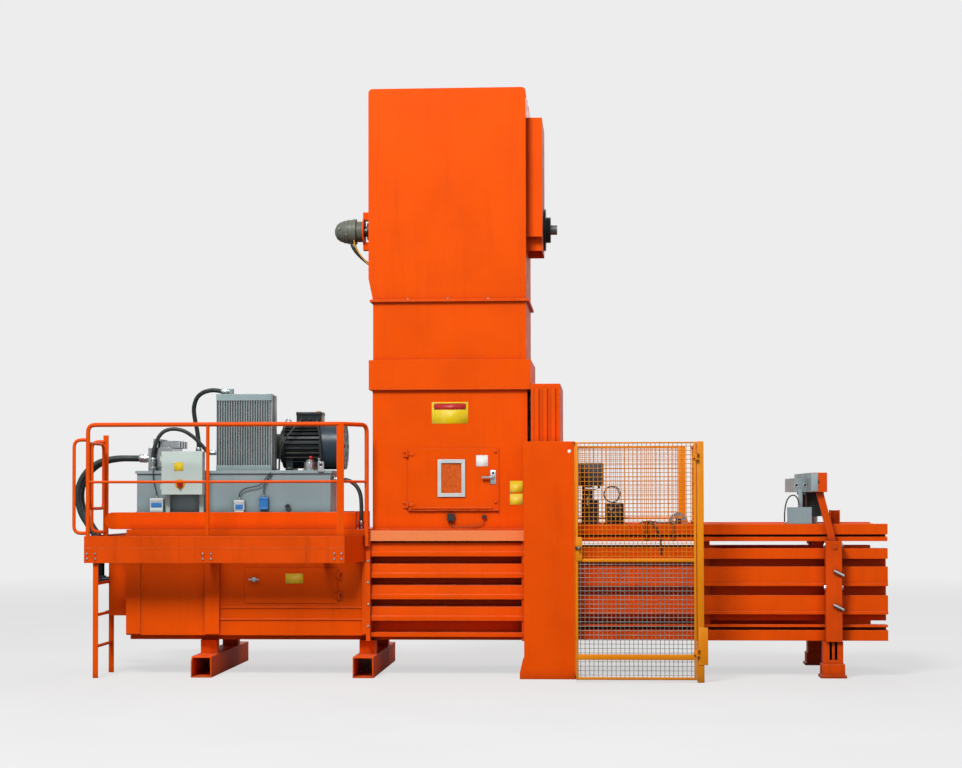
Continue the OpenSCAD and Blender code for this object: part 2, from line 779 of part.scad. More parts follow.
module guard_door() {
    x0 = door_x0;
    x1 = door_x1;
    y0 = -guard_y - stile / 2;
    color(guard_yellow) {
        difference() {
            union() {
                for (x = [x0, x1 - stile])
                    block([x, y0, 25], [x + stile, y0 + stile, guard_h - 5]);
                for (z = [[25, 50], [210, 262], [1118, 1150], [guard_h - 20, guard_h - 5]])
                    block([x0, y0, z[0]], [x1, y0 + stile, z[1]]);
                mesh_xz([x0 + stile, 50], [x1 - stile, guard_h - 20], -guard_y, wire_r);
                block([x0 + 6, y0 - 8, 1130], [x0 + 62, y0 + 1, 1350]);
                for (z = [260, guard_h - 160]) {
                    bar_z([guard_axis.x, guard_axis.y, z], 40, hinge_r);
                    block([x1 - 30, guard_axis.y - 4, z], [guard_axis.x, y0 + 1, z + 40]);
                }
            }
            for (z = [260, guard_h - 160])
                bar_z([guard_axis.x, guard_axis.y, z - 1], 42, pin_r + pin_gap);
        }
    }
}
module guard_latch() {
    y0 = -guard_y - stile / 2 - 8;
    color(dark) {
        block([door_x0 - 6, y0 - 14, 1240], [door_x0 + 50, y0 - seat, 1262]);
        bar_y([door_x0 + 30, y0 - 44, 1251], 31, 10);
    }
}
module rear_fence() {
    y = channel_y - 40;
    x0 = tower_x1 - 8;
    x1 = side_x - 63;
    color(guard_yellow) {
        block([x0 - 12, y - 12, channel_top + seat], [x0 + 12, y + 12, guard_h]);
        block([x1 - 75, y - 12, channel_top + seat], [x1, y + 12, guard_h]);
        for (z = [channel_top + 30, guard_h - 20])
            block([x0, y - 10, z], [x1 - 1, y + 10, z + 20]);
        mesh_xz([x0, channel_top + 50], [x1 - 74, guard_h - 20], y, wire_r);
    }
}

// Wire twister on the channel

twist_x = 2400;
twist_z = 1600;
twist_y = half_w - 6;
module wire_twister() {
    color(dark) {
        difference() {
            union() {
                block([twist_x - 110, -twist_y, roof_z + plate_t + seat], [twist_x + 110, twist_y, roof_z + plate_t + 20]);
                for (y = [-twist_y, -wire_pitch / 2 - 8, wire_pitch / 2 - 8, twist_y - 16])
                    block([twist_x - 90, y, roof_z + plate_t + 18], [twist_x + 90, y + 16, twist_z + 60]);
                bar_y([twist_x, -twist_y - 130, twist_z], 131, 72);
                block([2060, -520, 1835], [2290, -360, 2050]);
                block([2160, -460, roof_z + plate_t + seat], [2190, -420, 1836]);
                block([2080, -545, roof_z + plate_t + seat], [2250, -440, 1690]);
                bar_z([2130, -490, 1689], 147, 42);
                block([2110, -500, roof_z + plate_t + seat], [2240, -380, roof_z + plate_t + 14]);
            }
            bar_y([twist_x, -twist_y - 60, twist_z], 2 * twist_y + 120, 20.05);
        }
    }
}
module twister_shaft() {
    color(steel) {
        bar_y([twist_x, -twist_y - 50, twist_z], 2 * twist_y + 60, 20);
        for (i = [0 : wires - 1])
            translate([twist_x, wire_y(i) - 12, twist_z])
                rotate([-90, 0, 0])
                    linear_extrude(24)
                        difference() {
                            circle(r = 62);
                            for (k = [0 : 2])
                                rotate(120 * k)
                                    translate([34, -7])
                                        square([40, 14]);
                        }
    }
}

// Bale channel

channel_top = roof_z + 60;
channel_z0 = skid_z + 10;
side_x0 = nh_x1 + 4;
slot_hi = [1227, 1295];
slot_lo = [496, 530];
// A hollow bar of the side wall, as depth from the chamber and height.
module band(z0, z1, y1) {
    difference() {
        translate([wall_y - 1, z0])
            square([y1 - wall_y + 1, z1 - z0]);
        translate([wall_y + 9, z0 + 10])
            square([y1 - wall_y - 19, z1 - z0 - 20]);
    }
}
module channel_side() {
    difference() {
        translate([half_w, channel_z0])
            square([plate_t, channel_top - channel_z0]);
        translate([half_w - 1, slot_hi[0]])
            square([plate_t + 2, slot_hi[1] - slot_hi[0]]);
        translate([half_w - 1, slot_lo[0]])
            square([plate_t + 2, slot_lo[1] - slot_lo[0]]);
    }
    band(channel_top - 100, channel_top, channel_y);
    band(slot_hi[1], slot_hi[1] + 42, channel_y - 14);
    band(slot_hi[0] - 100, slot_hi[0], channel_y);
    band(867, 1052, channel_y);
    band(597, 777, channel_y);
    band(slot_lo[0] - 22, slot_lo[0], channel_y - 14);
    band(channel_z0, channel_z0 + 100, channel_y);
    translate([channel_y - 1, 867])
        square([12, 30]);
    translate([channel_y - 1, 597])
        square([12, 30]);
}
module bale_channel() {
    color(orange)
        difference() {
            union() {
                both_sides() {
                    along_x(side_x0, outlet_x)
                        channel_side();
                    block([press_x1, half_w, channel_z0], [side_x0 + 1, wall_y, roof_z + plate_t]);
                    for (x = [side_x0, 3225, clamp_x - 55])
                        block([x, half_w, channel_z0], [x + 90, wall_y + 40, channel_top]);
                    block([press_x1, wall_y, channel_z0], [press_x1 + 30, channel_y, roof_z]);
                    block([flap_x0 - 60, 300, roof_z], [flap_x0 + 25, 330, flap_z + 30]);
                    block([flap_x0 - 60, 60, roof_z], [flap_x0 + 25, 90, flap_z + 30]);
                }
                block([press_x1, -wall_y, floor_z - plate_t], [outlet_x, wall_y, floor_z]);
                block([press_x1, -wall_y, roof_z], [flap_x0 - 30, wall_y, roof_z + plate_t]);
                for (x = [2200, 2900, 3600, 4300, 4940])
                    block([x, -wall_y, channel_z0], [x + 60, wall_y, floor_z - plate_t + 1]);
                for (s = [-1, 1])
                    translate([0, s * 195, 0])
                        bar_y([flap_x0, -135, flap_z], 270, 15);
            }
            for (i = [0 : wires - 1]) {
                block([needle_x - 24, wire_y(i) - 22, roof_z - 1], [needle_x + 24, wire_y(i) + 22, roof_z + plate_t + 1]);
                block([needle_x - 24, wire_y(i) - 22, channel_z0], [needle_x + 24, wire_y(i) + 22, floor_z + 1]);
            }
            block([2900, -490, roof_z - 1], [3140, -410, roof_z + plate_t + 1]);
        }
}
module channel_flap() {
    w = half_w - 10;
    color(orange)
        difference() {
            union() {
                block([flap_x0 + 30, -w, roof_z], [outlet_x - 20, w, roof_z + 14]);
                for (y = [-420, -210, 0, 210, 420])
                    block([flap_x0 + 30, y - 8, roof_z + 13], [outlet_x - 20, y + 8, roof_z + 52]);
                for (y = [clamp_y, -clamp_y])
                    block([press_cyl_x - 90, y - 90, roof_z + 13], [press_cyl_x + 90, y + 90, roof_z + 60]);
                both_sides() {
                    bar_y([flap_x0, 95, flap_z], 200, 30);
                    block([flap_x0, 95, roof_z + 2], [flap_x0 + 60, 295, roof_z + 42]);
                }
            }
            both_sides()
                bar_y([flap_x0, 90, flap_z], 210, 15.05);
        }
}
press_cyl_x = 4340;
clamp_y = 350;
beam_y1 = 850;
link_y = 775;
link_top = [4326, 1860];
link_low = [4483, 1243];
module clamp_beams() {
    color("#E04E00")
        both_sides()
            difference() {
                block([clamp_x - 75, channel_y + 12 + seat, channel_z0], [clamp_x + 75, beam_y1, 1300]);
                block([clamp_x - 60, link_y - 25, 1180], [clamp_x + 50, link_y + 25, 1301]);
                bar_y([link_low.x, channel_y, link_low.y], 200, 20.05);
            }
}
module clamp_links() {
    color("#E04E00")
        both_sides()
            union() {
                hull()
                    for (p = [link_top, link_low])
                        bar_y([p.x, link_y - 20, p.y], 40, 33);
                bar_y([link_low.x, channel_y + 20, link_low.y], beam_y1 - channel_y - 10, 20);
                bar_y([link_top.x, link_y - 60, link_top.y], 120, 20);
            }
}
module clamp_crosshead() {
    color("#D94A00")
        difference() {
            union() {
                block([4265, -link_y - 70, 1765], [4415, link_y + 70, 1950]);
                block([4140, -520, 1765], [4265, 520, 1900]);
            }
            both_sides()
                block([4285, link_y - 25, 1764], [4440, link_y + 25, 1951]);
            both_sides()
                bar_y([link_top.x, link_y - 71, link_top.y], 142, 20.05);
        }
}
clamp_rod_z = roof_z + 60 + seat;
module clamp_cylinder() {
    color(dark)
        for (s = [-1, 1])
            difference() {
                union() {
                    bar_z([press_cyl_x, s * clamp_y, 1530], 1765 - seat - 1530, 80);
                    block([press_cyl_x - 88, s * clamp_y - 88, 1740], [press_cyl_x + 88, s * clamp_y + 88, 1765 - seat]);
                }
                bar_z([press_cyl_x, s * clamp_y, 1560], 150, 55.4);
                bar_z([press_cyl_x, s * clamp_y, 1529], 32, 35.4);
            }
}
module clamp_rod() {
    color(steel)
        for (s = [-1, 1]) {
            bar_z([press_cyl_x, s * clamp_y, clamp_rod_z], 1650 - clamp_rod_z, 35);
            bar_z([press_cyl_x, s * clamp_y, 1640], 60, 55);
        }
}
module clamp_foot() {
    color("#D94A00")
        both_sides()
            difference() {
                union() {
                    block([4345, 600, 0], [4590, 860, 25]);
                    block([4360, 620, 24], [4575, 840, 130]);
                    block([4375, 640, 129], [4560, 820, channel_z0 - seat]);
                }
                block([4430, 600, 170], [4505, 861, channel_z0]);
                for (y = [612, 848])
                    bar_z([4400, y, -1], 30, 8);
            }
}
wheel_x = 3020;
wheel_y = -450;
wheel_z = 1478;
module length_wheel() {
    color("#B8BCBC")
        union() {
            bar_y([wheel_x, wheel_y - bracket_y - 16, wheel_z], 2 * bracket_y + 32, axle_r);
            translate([wheel_x, wheel_y + 8, wheel_z])
                rotate([90, 0, 0])
                    linear_extrude(16)
                        difference() {
                            circle(r = 92);
                            for (k = [0 : 4])
                                rotate(72 * k)
                                    translate([50, 0])
                                        circle(r = 17);
                        }
        }
}
bracket_y = 46;
axle_r = 12;
module wheel_bracket() {
    color(dark)
        both_in_y(wheel_y)
            difference() {
                union() {
                    block([wheel_x - 24, bracket_y, roof_z + plate_t + seat], [wheel_x + 24, bracket_y + 12, wheel_z + 32]);
                    block([wheel_x - 70, bracket_y, roof_z + plate_t + seat],
                        [wheel_x + 70, bracket_y + 50, roof_z + plate_t + 12]);
                }
                bar_y([wheel_x, bracket_y - 1, wheel_z], 20, axle_r + pin_gap);
            }
}
module both_in_y(y) {
    translate([0, y, 0]) {
        children();
        mirror([0, 1, 0])
            children();
    }
}

// Platform, rails and ladder

edge_y = platform_y;
house_side = house_y + 12 + seat;
fascia_z = platform_z - 245;
bar_t = 5;
grate_h = 30;
gutter = 62;
module grating(lo, hi, step_x, step_y) {
    for (x = [lo.x : step_x : hi.x])
        block([x, lo.y, platform_z - grate_h], [x + bar_t, hi.y, platform_z - 2]);
    for (y = [lo.y : step_y : hi.y])
        block([lo.x, y, platform_z - grate_h], [hi.x, y + bar_t, platform_z]);
}
module platform() {
    color("#E04E00") {
        both_sides() {
            for (z = [fascia_z, platform_z - 113])
                block([plat_x0, edge_y - 55, z], [plat_x1, edge_y, z + 8]);
            block([plat_x0, edge_y - 8, fascia_z], [plat_x1, edge_y, platform_z + 12]);
            end_fascia();
            for (x = [plat_x0 + 8, -1520, -420]) {
                block([x, house_side, fascia_z + 8], [x + 50, edge_y - 8, post_z0 - 10]);
                block([max(x, plat_x0 + gutter), house_side, post_z0 - 11],
                    [max(x, plat_x0 + gutter) + 50, edge_y - gutter, platform_z - grate_h]);
            }
            block([plat_x0, house_side, platform_z - 70], [plat_x1, house_side + 8, platform_z]);
            grating([plat_x0 + 320, house_side], [plat_x1 - 90, edge_y - gutter], 150, 60);
        }
        block([plat_x0, -edge_y, fascia_z], [plat_x0 + 8, edge_y, platform_z + 12]);
        block([house_x0 - 8 - seat, -house_side, platform_z - 70], [house_x0 - seat, house_side, platform_z]);
        grating([plat_x0 + gutter, -edge_y + gutter], [house_x0 - 8, edge_y - gutter], 60, 150);
    }
}
module end_fascia() {
    translate([0, 0, fascia_z])
        linear_extrude(platform_z + 12 - fascia_z)
            polygon([[plat_x1 - 1, edge_y], [plat_x1 - 1, edge_y - 10], [-20, house_side], [-8, house_side]]);
    translate([0, 0, platform_z - 6])
        linear_extrude(6)
            polygon([[plat_x1 - 1, edge_y - 4], [plat_x1 - 1, house_side], [-14, house_side]]);
}

// Corner points turned into short bends of radius r.
function bend(p, r) = concat([p[0]],
    [for (i = [1 : len(p) - 2])
        let (a = p[i] + r * unit(p[i - 1] - p[i]), b = p[i] + r * unit(p[i + 1] - p[i]))
        for (t = [0, 0.25, 0.5, 0.75, 1]) (1 - t) * (1 - t) * a + 2 * t * (1 - t) * p[i] + t * t * b],
    [p[len(p) - 1]]);
rail_sides = 12;
post_r = rail_d / 2;
rail_x0 = plat_x0 + 8 + seat + post_r;
rail_y0 = edge_y - 8 - 1 - post_r;
rail_x1 = -205;
end_x = 10;
end_y = house_side + post_r;
rail_mid = platform_z + 530;
rail_top = rail_z - rail_d / 2;
post_z0 = platform_z - 95;
hoop_z0 = platform_z + 40;
gate_y = -420;
bend_r = 70;
module rail(p, d) {
    sweep(bend(p, bend_r), d / 2, rail_sides);
}
module handrail() {
    color(orange) {
        rail([[rail_x0, -rail_y0, post_z0], [rail_x0, -rail_y0, rail_top], [rail_x1, -rail_y0, rail_top],
            [end_x, -end_y, rail_top], [end_x, -end_y, post_z0]], rail_d);
        rail([[rail_x0, -rail_y0, rail_mid], [rail_x1, -rail_y0, rail_mid], [end_x, -end_y, rail_mid]], 26);
        bar_z([-1480, -rail_y0, post_z0], rail_top - post_z0, 17);
        block([-240, -rail_y0 - 6, post_z0], [-170, -rail_y0 + 6, rail_top + 6]);
        block([rail_x0 - 20, gate_y - 6, post_z0], [rail_x0 + 32, gate_y + 6, gate_z1 + 93]);
        for (z = gate_hinge_z) {
            for (s = [-12.3, 40.3])
                translate([0, 0, z + s])
                    union() {
                        bar_z([rail_x0, gate_hinge_y, 0], 12, 13);
                        block([rail_x0 - 6, -rail_y0, 0], [rail_x0 + 6, gate_hinge_y, 12]);
                    }
            bar_z([rail_x0, gate_hinge_y, z - 12], 64, pin_r);
        }
        for (y = [-rail_y0, gate_y]) {
            rail([[rail_x0, y, 2280], [rail_x0 - 135, y, 2280], [rail_x0 - 135, y, hoop_z0], [rail_x0, y, hoop_z0]], 34);
            block([plat_x0 + 8 + seat, y - 20, post_z0 - 5], [rail_x0, y + 20, post_z0 + 50]);
        }
        for (x = [-1510, -240])
            block([x, -edge_y + 8 + seat, post_z0 - 5], [x + 60, -rail_y0 + 8, post_z0 + 50]);
    }
}
gate_w = 560;
gate_z0 = 1620;
gate_z1 = 2250;
gate_hinge_y = -rail_y0 + post_r + 16;
gate_hinge_z = [gate_z0 + 90, gate_z1 - 130];
gate_r = 70;
gate_tube = 15;
// A closed loop of tube with round corners.
module gate_loop(y0, y1) {
    for (z = [gate_z0, gate_z1])
        bar_y([rail_x0, y0 + gate_r, z], y1 - y0 - 2 * gate_r, gate_tube);
    for (y = [y0, y1])
        bar_z([rail_x0, y, gate_z0 + gate_r], gate_z1 - gate_z0 - 2 * gate_r, gate_tube);
    for (c = [[y1 - gate_r, gate_z1 - gate_r, 0], [y0 + gate_r, gate_z1 - gate_r, 90],
            [y0 + gate_r, gate_z0 + gate_r, 180], [y1 - gate_r, gate_z0 + gate_r, 270]])
        translate([rail_x0, c[0], c[1]])
            rotate([90, 0, 90])
                rotate([0, 0, c[2]])
                    rotate_extrude(angle = 90)
                        translate([gate_r, 0])
                            circle(r = gate_tube);
}
module ladder_gate() {
    y0 = gate_hinge_y + 32;
    y1 = gate_hinge_y + gate_w;
    color(orange)
        difference() {
            union() {
                gate_loop(y0, y1);
                for (z = gate_hinge_z) {
                    bar_z([rail_x0, gate_hinge_y, z], 40, 13);
                    block([rail_x0 - 5, gate_hinge_y, z + 8], [rail_x0 + 5, y0, z + 32]);
                }
            }
            for (z = gate_hinge_z)
                bar_z([rail_x0, gate_hinge_y, z - 1], 42, pin_r + pin_gap);
        }
}
ladder_x = plat_x0 + 80;
ladder_y = [-1085, -465];
rung_pitch = 300;
module ladder() {
    color(orange) {
        for (y = ladder_y)
            block([ladder_x, y - 6, 0], [ladder_x + 50, y + 6, fascia_z - seat]);
        for (i = [1 : 3])
            bar_y([ladder_x + 25, ladder_y[0], i * rung_pitch], ladder_y[1] - ladder_y[0], 15);
        block([ladder_x + 50 - 1, -620, 570], [house_x0 - seat, -608, 1080]);
        block([ladder_x, -620, 585], [ladder_x + 50, ladder_y[1], 615]);
    }
}

// Power pack

skid_y = tank_w / 2 + 50;
skid_w = 120;
module oil_tank() {
    color(tank_grey)
        difference() {
            block([tank_x0, -tank_w / 2, base_z1], [tank_x1, tank_w / 2, lid_z - 10]);
            block([tank_x0 + 8, -tank_w / 2 + 8, base_z1 + 8], [tank_x1 - 8, tank_w / 2 - 8, tank_z1]);
        }
    color(tank_grey)
        block([tank_x0 - 15, -tank_w / 2 - 15, tank_z1 + 15], [tank_x1 + 15, tank_w / 2 + 15, lid_z]);
    color(orange) {
        both_sides() {
            block([-2520, skid_y, base_z0], [-120, skid_y + skid_w, base_z1]);
            bar_y([-2520, skid_y, (base_z0 + base_z1) / 2], skid_w, (base_z1 - base_z0) / 2);
        }
        for (x = [-2300, -1400, -460])
            block([x, -skid_y - 1, base_z1 - 100], [x + 90, skid_y + 1, base_z1]);
    }
}
cooler_y0 = -370;
core_y1 = -230;
shroud_y1 = -100;
fan_r = 225;
fan_z = (lid_z + cooler_z1) / 2;
fan_x = cooler_x0 + cooler_w / 2;
fin_pitch = 25;
module oil_cooler() {
    color("#A5BDBF") {
        difference() {
            union() {
                block([cooler_x0, cooler_y0, lid_z + seat], [cooler_x0 + cooler_w, core_y1, lid_z + 50]);
                block([cooler_x0, cooler_y0, cooler_z1 - 65], [cooler_x0 + cooler_w, core_y1, cooler_z1]);
                block([cooler_x0, cooler_y0 + 30, lid_z + 49], [cooler_x0 + cooler_w, core_y1, cooler_z1 - 64]);
                for (x = [cooler_x0 + 2 : fin_pitch : cooler_x0 + cooler_w - 9])
                    block([x, cooler_y0 + 3, lid_z + 49], [x + 7, cooler_y0 + 31, cooler_z1 - 64]);
                difference() {
                    block([cooler_x0 - 8, core_y1 - 10, lid_z + seat], [cooler_x0 + cooler_w + 8, shroud_y1, cooler_z1 - 10]);
                    block([cooler_x0, core_y1, lid_z + 20], [cooler_x0 + cooler_w, shroud_y1 - 8, cooler_z1 - 20]);
                    bar_y([fan_x, shroud_y1 - 9, fan_z], 10, fan_r + 10);
                }
                for (s = [-1, 1])
                    block([fan_x + s * 60 - 10, shroud_y1 - 1, lid_z + 30],
                        [fan_x + s * 60 + 10, shroud_y1 + 14, cooler_z1 - 30]);
                bar_y([fan_x, shroud_y1 + 2, fan_z], 100, 68);
                bar_z([cooler_x0 + 140, cooler_y0 + 70, cooler_z1 - 1], 55, 26);
                bar_x([cooler_x0 + 95, cooler_y0 + 70, cooler_z1 + 29], 45, 24);
                bar_x([cooler_x0 - 30, cooler_y0 + 70, lid_z + 180], 31, 24);
            }
            bar_y([fan_x, shroud_y1 - 30, fan_z], 90, 14.05);
        }
    }
}
module cooler_fan() {
    color(dark) {
        bar_y([fan_x, shroud_y1 - 75, fan_z], 130, 14);
        bar_y([fan_x, shroud_y1 - 75, fan_z], 60, 55);
        for (k = [0 : 6])
            translate([fan_x, shroud_y1 - 45, fan_z])
                rotate([0, 360 / 7 * k, 0])
                    rotate([0, 0, 32])
                        translate([-28, -3, 40])
                            cube([56, 6, fan_r - 48]);
    }
}
motor_x1 = -535;
cowl_x1 = -310;
shaft_r = 30;
motor_fins = 28;
module pump_motor() {
    color(dark)
        difference() {
            union() {
                bar_x([motor_x0, motor_y, motor_z], motor_x1 - motor_x0, motor_r - 28);
                for (k = [0 : motor_fins - 1])
                    translate([motor_x0 + 25, motor_y, motor_z])
                        rotate([360 / motor_fins * (k + 0.5), 0, 0])
                            translate([0, -3, motor_r - 36])
                                cube([motor_x1 - motor_x0 - 40, 6, 36]);
                bar_x([motor_x0, motor_y, motor_z], 28, motor_r - 4);
                bar_x([motor_x1 - 20, motor_y, motor_z], cowl_x1 - motor_x1 + 20, motor_r + 10);
                block([-800, motor_y - 110, motor_z + motor_r - 40], [-545, motor_y + 110, motor_z + motor_r + 110]);
                for (x = [motor_x0 + 40, motor_x1 - 100])
                    block([x, motor_y - 190, lid_z + seat], [x + 70, motor_y + 190, lid_z + 26]);
                for (x = [motor_x0 + 40, motor_x1 - 100])
                    for (s = [-1, 1])
                        block([x, motor_y + s * 130 - 25, lid_z + 25], [x + 70, motor_y + s * 130 + 25, motor_z - 60]);
            }
            bar_x([motor_x0 - 1, motor_y, motor_z], motor_x1 - motor_x0 + 20, shaft_r + pin_gap);
            bar_x([motor_x1 + 10, motor_y, motor_z], cowl_x1 - motor_x1 - 16, motor_r + 4);
            for (k = [0 : 7])
                translate([cowl_x1 - 8, motor_y, motor_z])
                    rotate([45 * k, 0, 0])
                        for (r = [70, 125, 180])
                            translate([0, -20, r])
                                cube([10, 40, 34]);
        }
}
module motor_rotor() {
    color(steel) {
        bar_x([-1120, motor_y, motor_z], 740, shaft_r);
        bar_x([-1090, motor_y, motor_z], 110, 78);
        bar_x([motor_x1 + 40, motor_y, motor_z], 70, 60);
        for (k = [0 : 7])
            translate([motor_x1 + 40, motor_y, motor_z])
                rotate([45 * k, 0, 0])
                    translate([0, -4, 40])
                        cube([80, 8, 150]);
    }
}
bell_x0 = -1140;
module hydraulic_pump() {
    color("#4A5458")
        difference() {
            union() {
                bar_x([bell_x0, motor_y, motor_z], motor_x0 - seat - bell_x0, 128);
                bar_x([motor_x0 - 25, motor_y, motor_z], 25 - seat, 165);
                bar_x([-1350, motor_y, motor_z], 210, 105);
                bar_x([-1390, motor_y, motor_z], 45, 80);
                block([-1290, motor_y - 125, motor_z - 60], [-1200, motor_y + 125, motor_z + 60]);
                bar_z([-1245, motor_y, lid_z + seat], motor_z - lid_z - 60, 46);
                bar_z([-1245, motor_y, lid_z + seat], 22, 75);
                bar_z([-1300, motor_y, motor_z + 90], 70, 32);
            }
            bar_x([bell_x0 + 10, motor_y, motor_z], motor_x0 - bell_x0 - 8, 110);
            bar_x([-1121, motor_y, motor_z], 200, shaft_r + pin_gap);
        }
}
valve_lo = [-2230, -330];
valve_hi = [-1990, 170];
module valve_block() {
    color(steel) {
        block([valve_lo.x, valve_lo.y, lid_z + seat], [valve_hi.x, valve_hi.y, lid_z + 230]);
        for (y = [-270, -150, -30, 90]) {
            bar_z([valve_lo.x + 70, y, lid_z + 229], 90, 34);
            block([valve_lo.x + 110, y - 32, lid_z + 229], [valve_hi.x + 60, y + 32, lid_z + 300]);
        }
        for (y = hose_y)
            bar_x([valve_lo.x - 70, y, 2120], 71, 38);
        bar_z([valve_lo.x + 60, valve_lo.y - 45, lid_z + 20], 60, 24);
        block([valve_lo.x + 30, valve_lo.y - 75, lid_z + seat], [valve_lo.x + 90, valve_lo.y + 1, lid_z + 40]);
    }
}
cb_x = [-2030, -1625];
cb_z = [1754, 2177];
cb_y0 = -620;
cb_y1 = -500;
cb_axis = [cb_x[0] - 8, cb_y0 - 8];
module control_box() {
    color("#BFCDC9") {
        difference() {
            block([cb_x[0], cb_y0, cb_z[0]], [cb_x[1], cb_y1, cb_z[1]]);
            block([cb_x[0] + 4, cb_y0 - 1, cb_z[0] + 4], [cb_x[1] - 4, cb_y1 - 4, cb_z[1] - 4]);
        }
        block([cb_x[0] + 30, cb_y1 - 12, cb_z[0] + 40], [cb_x[1] - 30, cb_y1 - 3, cb_z[1] - 40]);
        for (i = [0 : 4])
            block([cb_x[0] + 60 + i * 58, cb_y1 - 62, 1990], [cb_x[0] + 108 + i * 58, cb_y1 - 11, 2070]);
        block([cb_x[0] + 60, cb_y1 - 50, 1860], [cb_x[1] - 70, cb_y1 - 11, 1900]);
        for (x = [cb_x[0] + 15, cb_x[1] - 55])
            block([x, cb_y1 - 1, base_z1 + seat], [x + 40, cb_y1 + 18, cb_z[1] - 60]);
        for (z = [cb_z[0] + 60, cb_z[1] - 90])
            for (s = [-12.3, 30.3])
                translate([0, 0, z + s])
                    union() {
                        bar_z([cb_axis.x, cb_axis.y, 0], 12, 7);
                        block([cb_axis.x, cb_axis.y + 2, 0], [cb_x[0] - seat, cb_y0 + 14, 12]);
                        block([cb_axis.x, cb_y0 + 1, 0], [cb_x[0] + 4, cb_y0 + 14, 12]);
                    }
        for (z = [cb_z[0] + 60, cb_z[1] - 90])
            bar_z([cb_axis.x, cb_axis.y, z - 12.3], 54.6, 3);
    }
}
switch_x = -1845;
switch_z = 1855;
module control_door() {
    color("#BFCDC9")
        difference() {
            union() {
                block([cb_x[0], cb_y0 - 12, cb_z[0]], [cb_x[1], cb_y0 - 1, cb_z[1]]);
                for (z = [cb_z[0] + 60, cb_z[1] - 90]) {
                    bar_z([cb_axis.x, cb_axis.y, z], 30, 7);
                    block([cb_axis.x, cb_axis.y - 4, z], [cb_x[0] + 2, cb_axis.y + 2, z + 30]);
                }
            }
            for (z = [cb_z[0] + 60, cb_z[1] - 90])
                bar_z([cb_axis.x, cb_axis.y, z - 1], 32, 3 + pin_gap);
            bar_y([switch_x, cb_y0 - 13, switch_z], 14, 7.05);
        }
}
module main_switch() {
    color("red") {
        bar_y([switch_x, cb_y0 - 40, switch_z], 40, 7);
        bar_y([switch_x, cb_y0 - 30, switch_z], 30 - 12 - seat, 30);
        block([switch_x - 9, cb_y0 - 46, switch_z - 30], [switch_x + 9, cb_y0 - 30, switch_z + 30]);
    }
}

// Hoses and cables. Their points are placed by hand.

hose_y = [-70, 70];
pipe_x = -2795;
pipe_z = 1220;
hose_d = 62;
main_route = [[-2300, 0, 2120], [-2430, 0, 2120], [-2620, 0, 2118], [-2790, 0, 2080], [-2920, 0, 1985],
    [-2995, 0, 1855], [-3010, 0, 1710], [-2975, 0, 1570], [-2905, 0, 1450], [-2842, 0, 1355],
    [-2810, 0, 1300], [-2795, 0, 1250], [-2795, 0, 1220]];
cooler_route = [[-1445, -300, 2779], [-1485, -300, 2779], [-1545, -297, 2789], [-1605, -290, 2792],
    [-1692, -270, 2771], [-1760, -240, 2718], [-1796, -210, 2622], [-1792, -185, 2515],
    [-1772, -160, 2385], [-1760, -150, 2270], [-1760, -150, 2170]];
arch_route = [[-2170, -375, 2070], [-2170, -375, 2160], [-2140, -372, 2280], [-2080, -365, 2370],
    [-1990, -355, 2405], [-1880, -345, 2390], [-1780, -335, 2330], [-1690, -320, 2240],
    [-1630, -300, 2170], [-1570, -300, 2170]];
right_route = [[-375, -300, 1900], [-310, -300, 1900], [-225, -320, 1890], [-150, -340, 1840], [-105, -360, 1760],
    [-90, -380, 1650], [-88, -400, 1530], [-88, -400, 1440]];
clamp_route = [[4030, -640, 1460], [4030, -640, 1530], [4036, -640, 1610], [4052, -640, 1680], [4082, -640, 1724],
    [4120, -640, 1735], [4150, -640, 1712], [4165, -640, 1665], [4165, -640, 1620]];
switch_route = [[815, -640, 1470], [815, -640, 1458], [830, -640, 1438], [870, -640, 1428], [930, -640, 1432],
    [1000, -640, 1438], [1080, -640, 1450], [1130, -640, 1475], [1140, -640, 1500], [1140, -640, 1521 - seat]];
hose_sides = 8;
module hydraulic_hoses() {
    color("#252E2E") {
        for (y = hose_y)
            translate([0, y, 0])
                sweep(main_route, hose_d / 2, hose_sides);
        sweep(cooler_route, 22, hose_sides);
        sweep(arch_route, 19, hose_sides);
        sweep(right_route, 20, hose_sides);
        sweep(clamp_route, 6.5, hose_sides);
        sweep(switch_route, 4, hose_sides);
    }
}
module tank_fittings() {
    color(steel) {
        bar_z([-608, -330, lid_z + seat], 80, 58);
        bar_z([-608, -330, lid_z + 80], 25, 40);
        block([-512, -tank_w / 2 - 29, lid_z - 14], [-452, -tank_w / 2 - 15 - seat, lid_z + 85]);
        bar_z([-1760, -150, lid_z + seat], 2170 - lid_z - seat, 24);
        bar_z([-1760, -150, lid_z + seat], 120, 62);
        for (b = [[-2180, -2050, 1585, 1720], [-1340, -1240, 1600, 1700], [-1090, -1005, 1610, 1730]])
            block([b[0], -tank_w / 2 - 45, b[2]], [b[1], -tank_w / 2 - seat, b[3]]);
        bar_y([-810, -tank_w / 2 - 30, 1635], 30 - seat, 28);
        bar_x([tank_x1 + seat, -300, 1900], -375 - tank_x1 - seat, 26);
        bar_z([-88, -400, roof_z + plate_t + seat], 1440 - roof_z - plate_t - seat, 26);
        block([4060, -690, channel_top + seat], [4285, -590, 1620]);
    }
}
nut_h = 8;
module bolt_y(p, r) {
    translate(p)
        rotate([90, 0, 0])
            cylinder(h = nut_h, r = r, $fn = 6);
}
module bolt_down(p, r) {
    translate(p)
        cylinder(h = nut_h, r = r, $fn = 6);
}
